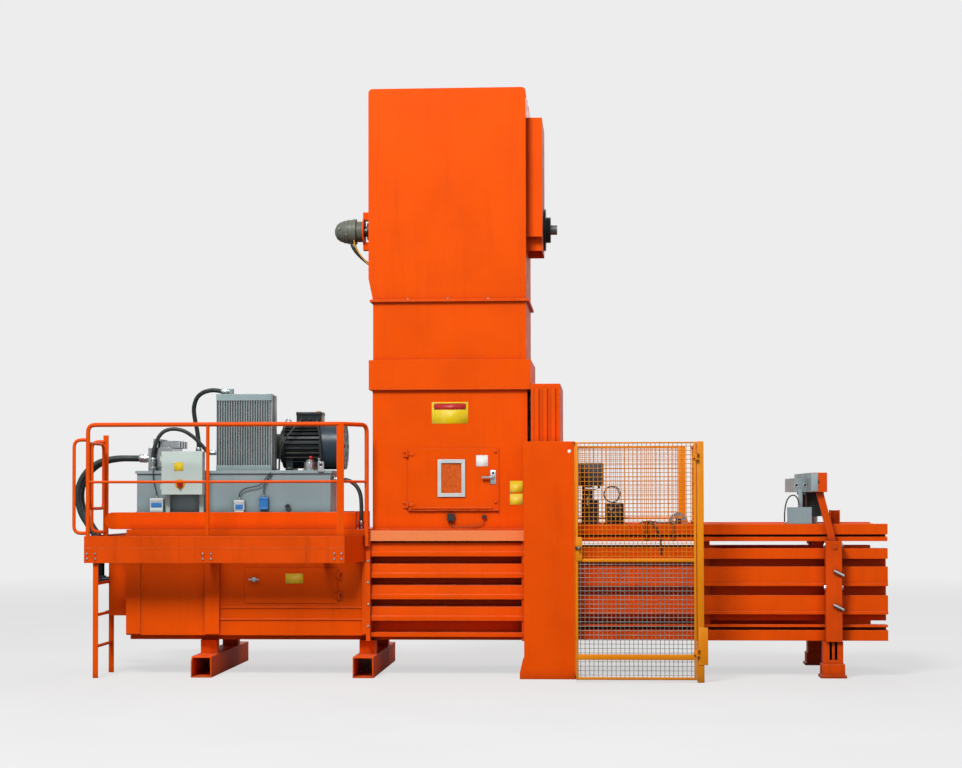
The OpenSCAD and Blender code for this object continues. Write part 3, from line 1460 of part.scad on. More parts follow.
module flange_bolts() {
    color(steel) {
        for (x = [398, 788, 1180])
            for (s = [-1, 1])
                bolt_down([x, s * (chute_y + 18), hood_z + 12 + seat], 12);
        for (z = [480, 690, 900, 1110])
            bolt_y([20, -house_y - 12 - seat, z], 12);
        for (x = [-2640, -2560, -1520, -1440, -260, -190])
            for (z = [fascia_z + 40, fascia_z + 90])
                bolt_y([x, -edge_y - seat, z], 10);
    }
}

press_foot_beam();
house_foot_beam();
press_box();
ram_house();
ram_door();
ram_door_handle();
ram_cylinder();
ram_rod();
ram_box();
shear_knife();
feed_chute();
chute_extension();
rotor_hood();
access_door();
window_frame();
window_pane();
door_handle();
door_interlock();
ripper_rotor();
rotor_gearmotor();
rotor_bearings();
drive_cover();
tower_cover();
needle_housing();
needle_carriage();
needle_rails();
needle_cylinder();
guard_frame();
guard_door();
guard_latch();
rear_fence();
wire_twister();
twister_shaft();
bale_channel();
channel_flap();
clamp_beams();
clamp_links();
clamp_crosshead();
clamp_cylinder();
clamp_rod();
clamp_foot();
length_wheel();
wheel_bracket();
platform();
handrail();
ladder_gate();
ladder();
oil_tank();
oil_cooler();
cooler_fan();
pump_motor();
motor_rotor();
hydraulic_pump();
valve_block();
control_box();
control_door();
main_switch();
hydraulic_hoses();
tank_fittings();
flange_bolts();
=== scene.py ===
"""Looks of the channel baler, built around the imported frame. Metres, X along the press to the bale outlet,
Y away from the working side, Z up from the floor."""

import json
import math

import bpy
import numpy as np
from mathutils import Matrix, Vector


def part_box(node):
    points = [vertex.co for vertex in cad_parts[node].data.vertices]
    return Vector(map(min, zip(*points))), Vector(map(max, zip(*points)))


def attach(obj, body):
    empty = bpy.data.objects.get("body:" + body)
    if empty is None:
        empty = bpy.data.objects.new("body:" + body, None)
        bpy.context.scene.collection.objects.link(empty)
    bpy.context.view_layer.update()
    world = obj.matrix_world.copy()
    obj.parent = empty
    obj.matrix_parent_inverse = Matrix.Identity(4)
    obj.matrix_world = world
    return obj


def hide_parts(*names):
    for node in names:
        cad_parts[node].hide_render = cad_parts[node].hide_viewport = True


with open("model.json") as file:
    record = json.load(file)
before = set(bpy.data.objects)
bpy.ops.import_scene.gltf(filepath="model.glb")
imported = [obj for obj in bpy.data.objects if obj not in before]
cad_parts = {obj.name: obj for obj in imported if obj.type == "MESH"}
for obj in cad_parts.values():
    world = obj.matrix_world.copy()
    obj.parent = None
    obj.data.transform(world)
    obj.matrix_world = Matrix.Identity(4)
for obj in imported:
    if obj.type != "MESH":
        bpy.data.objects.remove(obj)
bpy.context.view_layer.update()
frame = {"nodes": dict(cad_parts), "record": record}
NODE = frame["nodes"]
SLOT_OF = {s["node"]: s["material_slot"] for s in frame["record"]["subparts"]}

# Camera at the photograph's angle: a long lens 20 m from the press at eye height, with the frame shifted up a
# little.
FOCAL_PX = 1999.0
PHOTO_W = 962
SENSOR_MM = 36.0
SHIFT_PX = 60
CAM_AT = (2.303, -20.0, 1.750)
CAM_YAW, CAM_PITCH, CAM_ROLL = (math.radians(a) for a in (-3.527, 1.442, -0.119))


def make_camera():
    """Looks along +Y turned by yaw about Z, then up by pitch, then rolled about its own line of sight."""
    data = bpy.data.cameras.new("camera")
    data.sensor_width = SENSOR_MM
    data.lens = SENSOR_MM * FOCAL_PX / PHOTO_W
    data.shift_y = SHIFT_PX / PHOTO_W
    data.clip_start, data.clip_end = 0.1, 400
    level = math.cos(CAM_PITCH)
    ahead = np.array([math.sin(CAM_YAW) * level, math.cos(CAM_YAW) * level, math.sin(CAM_PITCH)])
    right = np.array([math.cos(CAM_YAW), -math.sin(CAM_YAW), 0])
    up = np.cross(right, ahead)
    c, s = math.cos(CAM_ROLL), math.sin(CAM_ROLL)
    right, up = right * c + up * s, up * c - right * s
    cam = bpy.data.objects.new("camera", data)
    cam.matrix_world = Matrix(
        [[right[i], up[i], -ahead[i], CAM_AT[i]] for i in range(3)] + [[0, 0, 0, 1]]
    )
    bpy.context.scene.collection.objects.link(cam)
    bpy.context.scene.camera = cam


make_camera()


# Materials

def linear(code):
    """sRGB hex to linear: x / 12.92 below 0.04045, else ((x + 0.055) / 1.055) to the power 2.4."""
    c = np.array([int(code[i : i + 2], 16) for i in (1, 3, 5)]) / 255
    c = np.where(c <= 0.04045, c / 12.92, ((c + 0.055) / 1.055) ** 2.4)
    return (*c.tolist(), 1.0)


def add(tree, kind, inputs=None, **settings):
    """One node: settings are its properties, inputs its sockets by name or index, each a value or a linked
    socket."""
    n = tree.nodes.new(kind)
    for key, value in settings.items():
        setattr(n, key, value)
    for key, value in (inputs or {}).items():
        if isinstance(value, bpy.types.NodeSocket):
            tree.links.new(value, n.inputs[key])
        else:
            n.inputs[key].default_value = value
    return n


# The Mix node's sockets for its two colours and for the result
MIX_A, MIX_B, MIX_OUT = 6, 7, 2


def blank(name):
    """A new material and its node tree, emptied."""
    m = bpy.data.materials.new(name)
    m.use_nodes = True
    m.node_tree.nodes.clear()
    return m, m.node_tree


def spread(tree, value, lo, hi, to_lo=0.0, to_hi=1.0):
    """value, stretched so that lo becomes to_lo and hi becomes to_hi, and held between them."""
    return add(
        tree, "ShaderNodeMapRange",
        {"Value": value, "From Min": lo, "From Max": hi, "To Min": to_lo, "To Max": to_hi},
    ).outputs[0]


def times(tree, a, b):
    """The product of two numbers or sockets."""
    return add(tree, "ShaderNodeMath", {0: a, 1: b}, operation="MULTIPLY").outputs[0]


def blended(tree, factor, a, b):
    """Colour a where factor is 0, b where it is 1."""
    return add(tree, "ShaderNodeMix", {0: factor, MIX_A: a, MIX_B: b}, data_type="RGBA").outputs[MIX_OUT]


def noise(tree, where, scale, detail=3.0, rough=0.5):
    """A cloudy value from 0 to 1, its clouds about 1 / scale metres wide."""
    return add(
        tree, "ShaderNodeTexNoise", {"Vector": where, "Scale": scale, "Detail": detail, "Roughness": rough}
    ).outputs[0]


EDGE_R = 0.005  # the folded and ground edges, drawn at 5 mm so that they show from 20 m
PAPER_DUST, GREY_DUST, RUST, PAINTED_CORNER_SHADE = "#B5A18C", "#8C8378", "#5A3A26", "#17130F"


def coated(name, base, shade, edge, dirt_and_painted_light="#1E1611", rough=0.38, metallic=0.0, grain=240.0, grain_depth=0.0004,
           streak=0.3, grime_and_shade=0.55, dusty=0.25, wear_and_highlight=0.6, patch=0.35, specular=0.25):
    """A coated or bare metal skin: base, patched with its second tone, shade, by a cloudy noise half a metre
    wide. On it lie drawn-out vertical runs, dark specks, painted shade where corners close in, dust on what
    faces up, and a pale line on edges that is partly wear and partly painted highlight. Its bump is a fine
    grain over shallow dents."""
    m, t = blank(name)
    at = add(t, "ShaderNodeTexCoord")
    where = at.outputs["Object"]
    round_n = add(t, "ShaderNodeBevel", {"Radius": EDGE_R}, samples=4).outputs[0]
    flat_n = add(t, "ShaderNodeNewGeometry").outputs["True Normal"]
    turn = add(t, "ShaderNodeVectorMath", {0: round_n, 1: flat_n}, operation="DOT_PRODUCT").outputs["Value"]
    cloud = spread(t, noise(t, where, 2.1, 4.0, 0.55), 0.38, 0.66)
    colour = blended(t, times(t, cloud, patch), linear(base), linear(shade))
    drawn = add(t, "ShaderNodeMapping", {"Vector": where, "Scale": (11.0, 11.0, 0.8)}).outputs[0]
    runs = spread(t, noise(t, drawn, 1.0, 4.0, 0.6), 0.52, 0.74)
    colour = blended(t, times(t, runs, streak), colour, linear(shade))
    speckle = spread(t, noise(t, where, 60.0, 3.0, 0.7), 0.66, 0.78)
    colour = blended(t, times(t, speckle, grime_and_shade * 0.4), colour, linear(dirt_and_painted_light))
    # Painted shade: where corners close in, the colour darkens towards the dark tone.
    closed = add(t, "ShaderNodeAmbientOcclusion", {"Distance": 0.10}, samples=4).outputs["AO"]
    colour = blended(t, times(t, spread(t, closed, 0.95, 0.25), grime_and_shade), colour, linear(dirt_and_painted_light))
    up = add(t, "ShaderNodeSeparateXYZ", {0: at.outputs["Normal"]}).outputs["Z"]
    dust = times(t, spread(t, up, 0.75, 1.0), spread(t, noise(t, where, 5.0, 4.0), 0.35, 0.75))
    colour = blended(t, times(t, dust, dusty), colour, linear(PAPER_DUST))
    # The pale line on edges is partly wear and partly a painted highlight.
    edge_wear_and_highlight = times(t, spread(t, turn, 0.992, 0.90), spread(t, noise(t, where, 9.0, 4.0, 0.65), 0.36, 0.62))
    colour = blended(t, times(t, edge_wear_and_highlight, wear_and_highlight), colour, linear(edge))
    gloss = spread(t, noise(t, where, 7.0, 4.0), 0.3, 0.7, rough - 0.07, rough + 0.12)
    fine = add(t, "ShaderNodeBump", {
        "Height": noise(t, where, grain, 2.0), "Distance": grain_depth, "Strength": 0.5, "Normal": round_n
    }).outputs[0]
    dents = add(t, "ShaderNodeBump", {
        "Height": noise(t, where, 3.2, 2.0), "Distance": 0.006, "Strength": 0.35, "Normal": fine
    }).outputs[0]
    skin = add(t, "ShaderNodeBsdfPrincipled", {
        "Base Color": colour, "Metallic": metallic, "Roughness": gloss, "Specular IOR Level": specular,
        "Normal": dents,
    })
    add(t, "ShaderNodeOutputMaterial", {"Surface": skin.outputs[0]})
    return m


def moulded(name, base, shade, rough=0.5, grain=400.0, depth=0.0002):
    """Rubber or moulded plastic: one colour with a faint cloud of a second one, a fine skin and dusty upper
    faces."""
    m, t = blank(name)
    at = add(t, "ShaderNodeTexCoord")
    where = at.outputs["Object"]
    cloud = spread(t, noise(t, where, 14.0, 4.0, 0.6), 0.4, 0.7)
    colour = blended(t, times(t, cloud, 0.5), linear(base), linear(shade))
    up = add(t, "ShaderNodeSeparateXYZ", {0: at.outputs["Normal"]}).outputs["Z"]
    dust = times(t, spread(t, up, 0.3, 1.0), spread(t, noise(t, where, 22.0, 3.0), 0.4, 0.8))
    colour = blended(t, times(t, dust, 0.25), colour, linear(GREY_DUST))
    skin = add(t, "ShaderNodeBump", {
        "Height": noise(t, where, grain, 2.0), "Distance": depth, "Strength": 0.6
    }).outputs[0]
    gloss = spread(t, noise(t, where, 9.0), 0.3, 0.7, rough - 0.06, rough + 0.1)
    s = add(t, "ShaderNodeBsdfPrincipled", {
        "Base Color": colour, "Roughness": gloss, "Specular IOR Level": 0.5, "Normal": skin
    })
    add(t, "ShaderNodeOutputMaterial", {"Surface": s.outputs[0]})
    return m


def brushed(name, base, shade, rough=0.3, lines=(4.0, 260.0, 260.0), rust=0.0, metallic=1.0):
    """Ground or rolled bare metal: hair lines from a noise that lines scales along X, Y and Z, a cloudy tone,
    and some rust bloom."""
    m, t = blank(name)
    where = add(t, "ShaderNodeTexCoord").outputs["Object"]
    round_n = add(t, "ShaderNodeBevel", {"Radius": EDGE_R * 0.6}, samples=4).outputs[0]
    hair = add(t, "ShaderNodeMapping", {"Vector": where, "Scale": lines}).outputs[0]
    lines_n = noise(t, hair, 1.0, 3.0, 0.7)
    cloud = spread(t, noise(t, where, 6.0, 4.0, 0.6), 0.35, 0.7)
    colour = blended(t, cloud, linear(base), linear(shade))
    bloom = spread(t, noise(t, where, 11.0, 5.0, 0.65), 0.55, 0.7)
    colour = blended(t, times(t, bloom, rust), colour, linear(RUST))
    # Painted shade: where corners close in, the colour darkens towards a near-black brown.
    closed = add(t, "ShaderNodeAmbientOcclusion", {"Distance": 0.06}, samples=4).outputs["AO"]
    dirt_and_painted_light = times(t, spread(t, closed, 0.9, 0.3), 0.6)
    colour = blended(t, dirt_and_painted_light, colour, linear(PAINTED_CORNER_SHADE))
    bump = add(t, "ShaderNodeBump", {
        "Height": lines_n, "Distance": 0.0004, "Strength": 0.4, "Normal": round_n
    }).outputs[0]
    s = add(t, "ShaderNodeBsdfPrincipled", {
        "Base Color": colour, "Metallic": metallic,
        "Roughness": spread(t, lines_n, 0.3, 0.7, rough - 0.08, rough + 0.12), "Normal": bump,
    })
    add(t, "ShaderNodeOutputMaterial", {"Surface": s.outputs[0]})
    return m


def clear_pane(name):
    """Clear safety sheet, see-through with a weak reflection, under a speckled film whose orange is a painted
    reflection of the orange round it."""
    m, t = blank(name)
    where = add(t, "ShaderNodeTexCoord").outputs["Object"]
    dirt_and_painted_light = spread(t, noise(t, where, 38.0, 5.0, 0.7), 0.40, 0.65, 0.55, 0.9)
    glass = add(t, "ShaderNodeBsdfPrincipled", {
        "Base Color": linear("#F2D9C4"), "Roughness": 0.08, "IOR": 1.5, "Transmission Weight": 1.0,
        "Alpha": 0.35,
    })
    # Painted reflection: the film's flat orange stands for the orange round the sheet.
    film = add(t, "ShaderNodeBsdfDiffuse", {"Color": linear("#F4702C")})
    s = add(t, "ShaderNodeMixShader", {0: dirt_and_painted_light, 1: glass.outputs[0], 2: film.outputs[0]})
    add(t, "ShaderNodeOutputMaterial", {"Surface": s.outputs[0]})
    return m


ORANGE, ORANGE_SHADE, ORANGE_EDGE = "#FA5800", "#DF4A00", "#FF9A5E"
FINISH = {
    # Two-pack orange machine enamel on welded plate: semi-gloss, faint orange peel, dust on ledges.
    "orange_paint": coated("orange_enamel", ORANGE, ORANGE_SHADE, ORANGE_EDGE, rough=0.42, specular=0.09),
    # The same enamel where bales, boots and links rub it: darker, with more grime and more painted shade in
    # its corners.
    "orange_paint_dark": coated(
        "orange_enamel_worn", "#F25200", "#BC4000", "#FF9A5C", grime_and_shade=0.8, dusty=0.35, streak=0.5,
        specular=0.14,
    ),
    # The upper ledge of the press box, paler: dust from the paper that falls on it, and painted light on its
    # upward face.
    "orange_ledge": coated(
        "orange_enamel_bleached", "#FF9258", "#FF7C38", "#FFC4A0", rough=0.5, specular=0.2, dusty=0.4,
        grime_and_shade=0.3,
    ),
    # Powder coat on the guard tubes and wire: even yellow-orange, a little chalky.
    "guard_yellow": coated(
        "guard_powder_coat", "#F59200", "#D97800", "#FFC25A", rough=0.45, streak=0.15, grime_and_shade=0.4, dusty=0.15
    ),
    # Hammered grey-blue tank enamel.
    "machine_grey": coated("tank_enamel", "#9AACB0", "#84989C", "#C6D2D4", rough=0.42, grain=120, streak=0.4),
    # Pale powder coated sheet box.
    "box_grey": coated(
        "box_powder_coat", "#D0E2DC", "#C2D4CE", "#EEF4F2", rough=0.5, streak=0.2, grime_and_shade=0.35, dusty=0.1
    ),
    # Brazed aluminium cooler under a thin grey spray: soft metallic.
    "cooler_grey": coated(
        "cooler_sprayed_aluminium", "#9FB4B6", "#8A9C9E", "#D0DADA", rough=0.4, metallic=0.25, streak=0.2
    ),
    # Cast iron motor in black-grey enamel.
    "motor_black": coated(
        "motor_black_enamel", "#262E32", "#1B2124", "#5A666C", rough=0.4, dirt_and_painted_light="#0A0B0C", dusty=0.3
    ),
    # Pressed steel fan cowl in glossy blue-grey enamel.
    "cowl_blue": coated(
        "fan_cowl_enamel", "#34444F", "#2A3841", "#6A7A84", rough=0.34, dirt_and_painted_light="#0A0B0C", dusty=0.2
    ),
    # Cast gear unit in grey-green enamel, dust on its upper faces and painted shade in its ribs.
    "gear_green": coated(
        "gear_unit_enamel", "#6B7266", "#565C52", "#9CA294", rough=0.42, grain=90, grain_depth=0.001
    ),
    # Ground and oiled shafting.
    "ground_steel": brushed("ground_steel", "#B9BEC1", "#9AA0A4", 0.24),
    # Wear plate polished by paper, with rust where nothing rubs.
    "raw_steel": brushed("worn_plate", "#8B8E90", "#6C6A68", 0.38, rust=0.55),
    # Bright zinc on screws and handles.
    "zinc_steel": brushed("bright_zinc", "#C9CED0", "#AEB4B6", 0.28, lines=(60, 60, 60)),
    # Satin anodised window profile.
    "frame_silver": brushed(
        "anodised_profile", "#E6ECEC", "#D5DCDC", 0.34, lines=(200, 200, 3), metallic=0.6
    ),
    "clear_glass": clear_pane("clear_safety_sheet"),
    # Glossy moulded knob.
    "switch_red": moulded("red_moulding", "#C01818", "#A01010", 0.25, grain=200),
    # Matte black moulding.
    "black_plastic": moulded("black_moulding", "#1C1E20", "#2A2D30", 0.48),
    # Wrapped hose cover: dull black rubber with a cloth mark too fine to show, drawn as a faint grain.
    "hose_rubber": moulded("hose_cover", "#1E2626", "#313A3A", 0.55, grain=500, depth=0.0004),
}
# Signal yellow, white and red sheet of the sign fields, semi-gloss.
SIGN_YELLOW = coated(
    "sign_yellow_sheet", "#E8C800", "#D8B800", "#F6E27A", rough=0.35, streak=0.1, grime_and_shade=0.25, wear_and_highlight=0.3
)
SIGN_WHITE = coated(
    "sign_white_sheet", "#E8E8E4", "#D8D8D2", "#FFFFFF", rough=0.35, streak=0.1, grime_and_shade=0.25, wear_and_highlight=0.2
)
SIGN_RED = coated(
    "sign_red_sheet", "#B41A18", "#9C1412", "#E0605A", rough=0.35, streak=0.1, grime_and_shade=0.2, wear_and_highlight=0.3
)
CABLE_YELLOW = moulded("yellow_moulding", "#E8B020", "#C89418", 0.4)
# The interlock cable was painted over with the door.
PAINTED_CABLE = moulded("painted_cable_cover", "#A8430C", "#8A3408", 0.5)
SENSOR_BLUE = moulded("blue_moulding", "#2E7FC8", "#2468A8", 0.4)
SENSOR_WHITE = moulded("white_moulding", "#D9DEDC", "#C4CAC8", 0.45)
# Hot-dip galvanised mesh wire: grey and matte, with the orange of the guard round it in its reflections.
GALVANISED = brushed("galvanised_wire", "#A9A79C", "#8C897C", 0.42, lines=(30, 30, 30), metallic=0.5)
BRASS = brushed("brass_fitting", "#B08D4A", "#8E6E36", 0.3, lines=(80, 80, 80))


# Shapes

def grid_faces(rows, cols):
    """Quads of a grid of rows by cols points, closed round the columns."""
    i, j = np.meshgrid(np.arange(rows - 1), np.arange(cols), indexing="ij")
    a, b = i * cols + j, i * cols + (j + 1) % cols
    return np.stack([a, b, b + cols, a + cols], -1).reshape(-1, 4)


def loft(rings):
    """A closed skin over rings, an array (rows, cols, 3), with flat many-sided ends."""
    rows, cols, _ = rings.shape
    ends = [list(range(cols))[::-1], list(range((rows - 1) * cols, rows * cols))]
    return rings.reshape(-1, 3), grid_faces(rows, cols).tolist() + ends


SLAB_STEPS = 3  # points on each rounded corner


def slab(lo, hi, r=0.003, axis=2):
    """A block with rounded edges: a rounded rectangle of corner radius r carried along one axis, drawn in at
    both ends by r (1 - sin a) while it rises by r (1 - cos a), for a from 0 to a quarter turn."""
    lo, hi = np.minimum(lo, hi).astype(float), np.maximum(lo, hi).astype(float)
    r = min(r, *(0.49 * (hi - lo)))
    u, v = [k for k in range(3) if k != axis]
    if axis == 1:
        u, v = v, u
    a = np.linspace(0, math.pi / 2, SLAB_STEPS)
    corner = np.concatenate([a + k * math.pi / 2 for k in range(4)])
    side_u = np.repeat([1, -1, -1, 1], SLAB_STEPS)
    side_v = np.repeat([1, 1, -1, -1], SLAB_STEPS)
    mid, half = (lo + hi) / 2, (hi - lo) / 2
    inset = np.concatenate([1 - np.sin(a), (1 - np.sin(a))[::-1]]) * r
    along = np.concatenate([lo[axis] + r * (1 - np.cos(a)), (hi[axis] - r * (1 - np.cos(a)))[::-1]])
    ring = np.zeros((len(along), len(corner), 3))
    ring[..., axis] = along[:, None]
    ring[..., u] = mid[u] + side_u * (half[u] - r) + np.cos(corner) * (r - inset[:, None])
    ring[..., v] = mid[v] + side_v * (half[v] - r) + np.sin(corner) * (r - inset[:, None])
    return loft(ring)


def frames_along(path):
    """Two unit vectors square to a path at each point: the first is carried along with the least twist."""
    path = np.asarray(path, float)
    d = np.gradient(path, axis=0)
    d /= np.linalg.norm(d, axis=1, keepdims=True)
    helper = np.array([0, 0, 1.0]) if abs(d[0, 2]) < 0.9 else np.array([1.0, 0, 0])
    u = np.zeros_like(path)
    u[0] = np.cross(d[0], helper)
    u[0] /= np.linalg.norm(u[0])
    for k in range(1, len(path)):
        w = u[k - 1] - d[k] * (u[k - 1] @ d[k])
        u[k] = w / np.linalg.norm(w)
    return u, np.cross(d, u)


def tube(path, r, sides=10):
    """A circle of radius r, one number or one per point, carried along the path."""
    u, v = frames_along(path)
    a = np.linspace(0, 2 * math.pi, sides, endpoint=False)
    radius = np.broadcast_to(np.asarray(r, float), (len(path),))[:, None, None]
    rings = np.asarray(path, float)[:, None] + radius * (
        np.cos(a)[None, :, None] * u[:, None] + np.sin(a)[None, :, None] * v[:, None]
    )
    return loft(rings)


def rod(p, q, r, sides=10):
    return tube(np.array([p, q], float), r, sides)


def lathe(at, direction, profile, sides=24):
    """A profile of (distance along, radius) pairs turned about the line that leaves a point in a
    direction."""
    p, d = np.array(at, float), np.array(direction, float)
    d /= np.linalg.norm(d)
    s, r = np.array(profile, float).T
    helper = np.array([0, 0, 1.0]) if abs(d[2]) < 0.9 else np.array([1.0, 0, 0])
    u = np.cross(d, helper)
    u /= np.linalg.norm(u)
    v = np.cross(d, u)
    a = np.linspace(0, 2 * math.pi, sides, endpoint=False)
    rings = (p + s[:, None] * d)[:, None] + np.maximum(r, 1e-5)[:, None, None] * (
        np.cos(a)[None, :, None] * u + np.sin(a)[None, :, None] * v
    )
    return loft(rings)


def smooth_path(points, step=0.02):
    """A curve through the points: on each span a cubic whose slope at either end is half the chord between
    that end's neighbours."""
    p = np.array(points, float)
    ext = np.vstack([2 * p[0] - p[1], p, 2 * p[-1] - p[-2]])
    out = []
    for k in range(len(p) - 1):
        a, b, c, d = ext[k : k + 4]
        t = np.linspace(0, 1, max(3, int(np.linalg.norm(c - b) / step)), endpoint=False)[:, None]
        curve = 2 * b + (c - a) * t
        curve += (2 * a - 5 * b + 4 * c - d) * t**2
        curve += (3 * b - a - 3 * c + d) * t**3
        out.append(0.5 * curve)
    return np.vstack(out + [p[-1:]])


def hex_head(at, direction, r):
    """A hexagon nut or screw head standing on a face, with its corners drawn in at the top."""
    h = 0.7 * r
    return lathe(at, direction, [(0, r), (0.75 * h, r), (h, 0.86 * r)], 6)


SMOOTH_DEG = 40  # edges that turn by more stay sharp
MOST_CORNERS = 8  # faces with more corners, such as the ends of round parts, stay flat


def piece(name, parts, material, body="frame"):
    """Joins parts, each (points, faces), into one object that rides on a body."""
    points, faces, start = [], [], 0
    for v, f in parts:
        points.append(np.asarray(v, float))
        faces += [[start + k for k in face] for face in f]
        start += len(v)
    mesh = bpy.data.meshes.new(name)
    mesh.from_pydata(np.vstack(points).tolist(), [], faces)
    mesh.update()
    mesh.polygons.foreach_set("use_smooth", np.array([len(f) <= MOST_CORNERS for f in faces]))
    mesh.set_sharp_from_angle(angle=math.radians(SMOOTH_DEG))
    mesh.materials.append(FINISH[material] if isinstance(material, str) else material)
    obj = bpy.data.objects.new(name, mesh)
    bpy.context.scene.collection.objects.link(obj)
    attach(obj, body)
    return obj


# CAD nodes keep their shape and take the finish of their slot. A few have a second finish on the faces whose
# centres a rule picks out.

ROTOR_Z = 4.400
WHEEL_Y = -0.450


def near(c, lo, hi):
    """True for the points inside a box."""
    return ((c > np.array(lo)) & (c < np.array(hi))).all(axis=1)


def needle_steel(c):
    """The needles and, further out, the lift rods, both below the carriage's bar."""
    out = np.abs(c[:, 1])
    return (out < 0.42) & (c[:, 2] < 2.70) | (out > 0.57) & (c[:, 2] < 2.688)


def motor_bracket(c):
    """What holds the gear motor to the hood, without the bearing housing in its middle."""
    return (c[:, 0] < -0.071) | (c[:, 0] < 0.012) & (np.abs(c[:, 2] - ROTOR_Z) > 0.09)


SECOND = {
    # The skids below the tank's underside
    "oil_tank": ("orange_paint", lambda c: c[:, 2] < 1.5795),
    "needle_carriage": ("ground_steel", needle_steel),
    "rotor_bearings": ("orange_paint", motor_bracket),
    # The knob in front of the bolt
    "guard_latch": ("zinc_steel", lambda c: c[:, 1] < -1.385),
    # The front of the core, between the two headers
    "oil_cooler": ("zinc_steel", lambda c: near(c, (-9, -0.345, 2.04), (9, -0.335, 2.68))),
    # The left half of the crosshead
    "clamp_crosshead": ("machine_grey", lambda c: c[:, 0] < 4.2655),
    # The ledges along the box's top, paler with dust and painted light
    "press_box": ("orange_ledge", lambda c: (c[:, 2] > 1.301) & (np.abs(c[:, 1]) > 0.60) & (c[:, 0] > 0.05)),
    # The fan cowl
    "pump_motor": ("cowl_blue", lambda c: c[:, 0] > -0.5551),
    # The axle on both sides of the disc
    "length_wheel": ("black_plastic", lambda c: np.abs(c[:, 1] - WHEEL_Y) > 0.009),
}


# The fittings node holds small pieces of many makes: (finish, lowest corner, highest corner) for each.
FITTINGS = [
    (SENSOR_WHITE, (-2.19, -0.50, 1.58), (-2.04, -0.42, 1.73)),
    (SENSOR_WHITE, (-1.35, -0.50, 1.58), (-1.23, -0.42, 1.73)),
    (SENSOR_BLUE, (-1.10, -0.50, 1.60), (-1.00, -0.42, 1.74)),
    (FINISH["machine_grey"], (4.00, -0.75, 1.455), (4.30, -0.45, 1.63)),
]
for node, obj in NODE.items():
    obj.data.materials.clear()
    obj.data.materials.append(FINISH[SLOT_OF[node]])
    centre = np.zeros(len(obj.data.polygons) * 3)
    obj.data.polygons.foreach_get("center", centre)
    centre = centre.reshape(-1, 3)
    index = np.zeros(len(centre), np.int32)
    if node in SECOND:
        other, rule = SECOND[node]
        obj.data.materials.append(FINISH[other])
        index[rule(centre)] = 1
    if node == "tank_fittings":
        for k, (finish, lo, hi) in enumerate(FITTINGS):
            obj.data.materials.append(finish)
            index[near(centre, lo, hi)] = k + 1
    obj.data.polygons.foreach_set("material_index", index)


# Hoses: the routes of the part's own source, in metres. SWITCH is the interlock cable's, drawn here alone.

MAIN = [(-2.300, 0, 2.120), (-2.430, 0, 2.120), (-2.620, 0, 2.118), (-2.790, 0, 2.080), (-2.920, 0, 1.985),
        (-2.995, 0, 1.855), (-3.010, 0, 1.710), (-2.975, 0, 1.570), (-2.905, 0, 1.450), (-2.842, 0, 1.355),
        (-2.810, 0, 1.300), (-2.795, 0, 1.250), (-2.795, 0, 1.220)]
COOLER = [(-1.445, -0.300, 2.779), (-1.485, -0.300, 2.779), (-1.545, -0.297, 2.789), (-1.605, -0.290, 2.792),
          (-1.692, -0.270, 2.771), (-1.760, -0.240, 2.718), (-1.796, -0.210, 2.622), (-1.792, -0.185, 2.515),
          (-1.772, -0.160, 2.385), (-1.760, -0.150, 2.270), (-1.760, -0.150, 2.170)]
ARCH = [(-2.170, -0.375, 2.070), (-2.170, -0.375, 2.160), (-2.140, -0.372, 2.280), (-2.080, -0.365, 2.370),
        (-1.990, -0.355, 2.405), (-1.880, -0.345, 2.390), (-1.780, -0.335, 2.330), (-1.690, -0.320, 2.240),
        (-1.630, -0.300, 2.170), (-1.570, -0.300, 2.170)]
RETURN = [(-0.375, -0.300, 1.900), (-0.310, -0.300, 1.900), (-0.225, -0.320, 1.890), (-0.150, -0.340, 1.840),
          (-0.105, -0.360, 1.760), (-0.090, -0.380, 1.650), (-0.088, -0.400, 1.530), (-0.088, -0.400, 1.440)]
CLAMP = [(4.030, -0.640, 1.460), (4.030, -0.640, 1.530), (4.036, -0.640, 1.610), (4.052, -0.640, 1.680),
         (4.082, -0.640, 1.724), (4.120, -0.640, 1.735), (4.150, -0.640, 1.712), (4.165, -0.640, 1.665),
         (4.165, -0.640, 1.620)]
SWITCH = [(0.815, -0.640, 1.470), (0.815, -0.640, 1.458), (0.830, -0.640, 1.438), (0.870, -0.640, 1.428),
          (0.930, -0.640, 1.432), (1.000, -0.640, 1.438), (1.080, -0.640, 1.450), (1.130, -0.640, 1.475),
          (1.140, -0.640, 1.500), (1.140, -0.640, 1.5207)]


# Along the hose and out from its line, both in radii of the hose
SLEEVE = np.array([(0.9, 1.28), (1.1, 1.34), (2.4, 1.34), (2.592, 1.2)])
SWIVEL_NUT = np.array([(0, 1.45), (0.8, 1.45), (0.95, 1.25)])


def ferrules(path, r, n=3):
    """Crimped sleeves and swivel nuts on both ends of a hose, each aimed at the path's point n from its
    end."""
    made = []
    for a, b in ((path[0], path[n]), (path[-1], path[-1 - n])):
        made.append(lathe(a, b - a, r * SLEEVE, 16))
        made.append(lathe(a, b - a, r * SWIVEL_NUT, 6))
    return made


def hose(name, points, r, shift=0.0, sides=14,
         with_ends=True, material="hose_rubber"):
    """A hose or cable on a route that is moved along Y by shift."""
    path = smooth_path(np.array(points) + [0, shift, 0])
    body = piece(name, [tube(path, r, sides)], material)
    ends = []
    if with_ends:
        ends = [piece(name + "_ends", ferrules(path, r), "zinc_steel")]
    return body


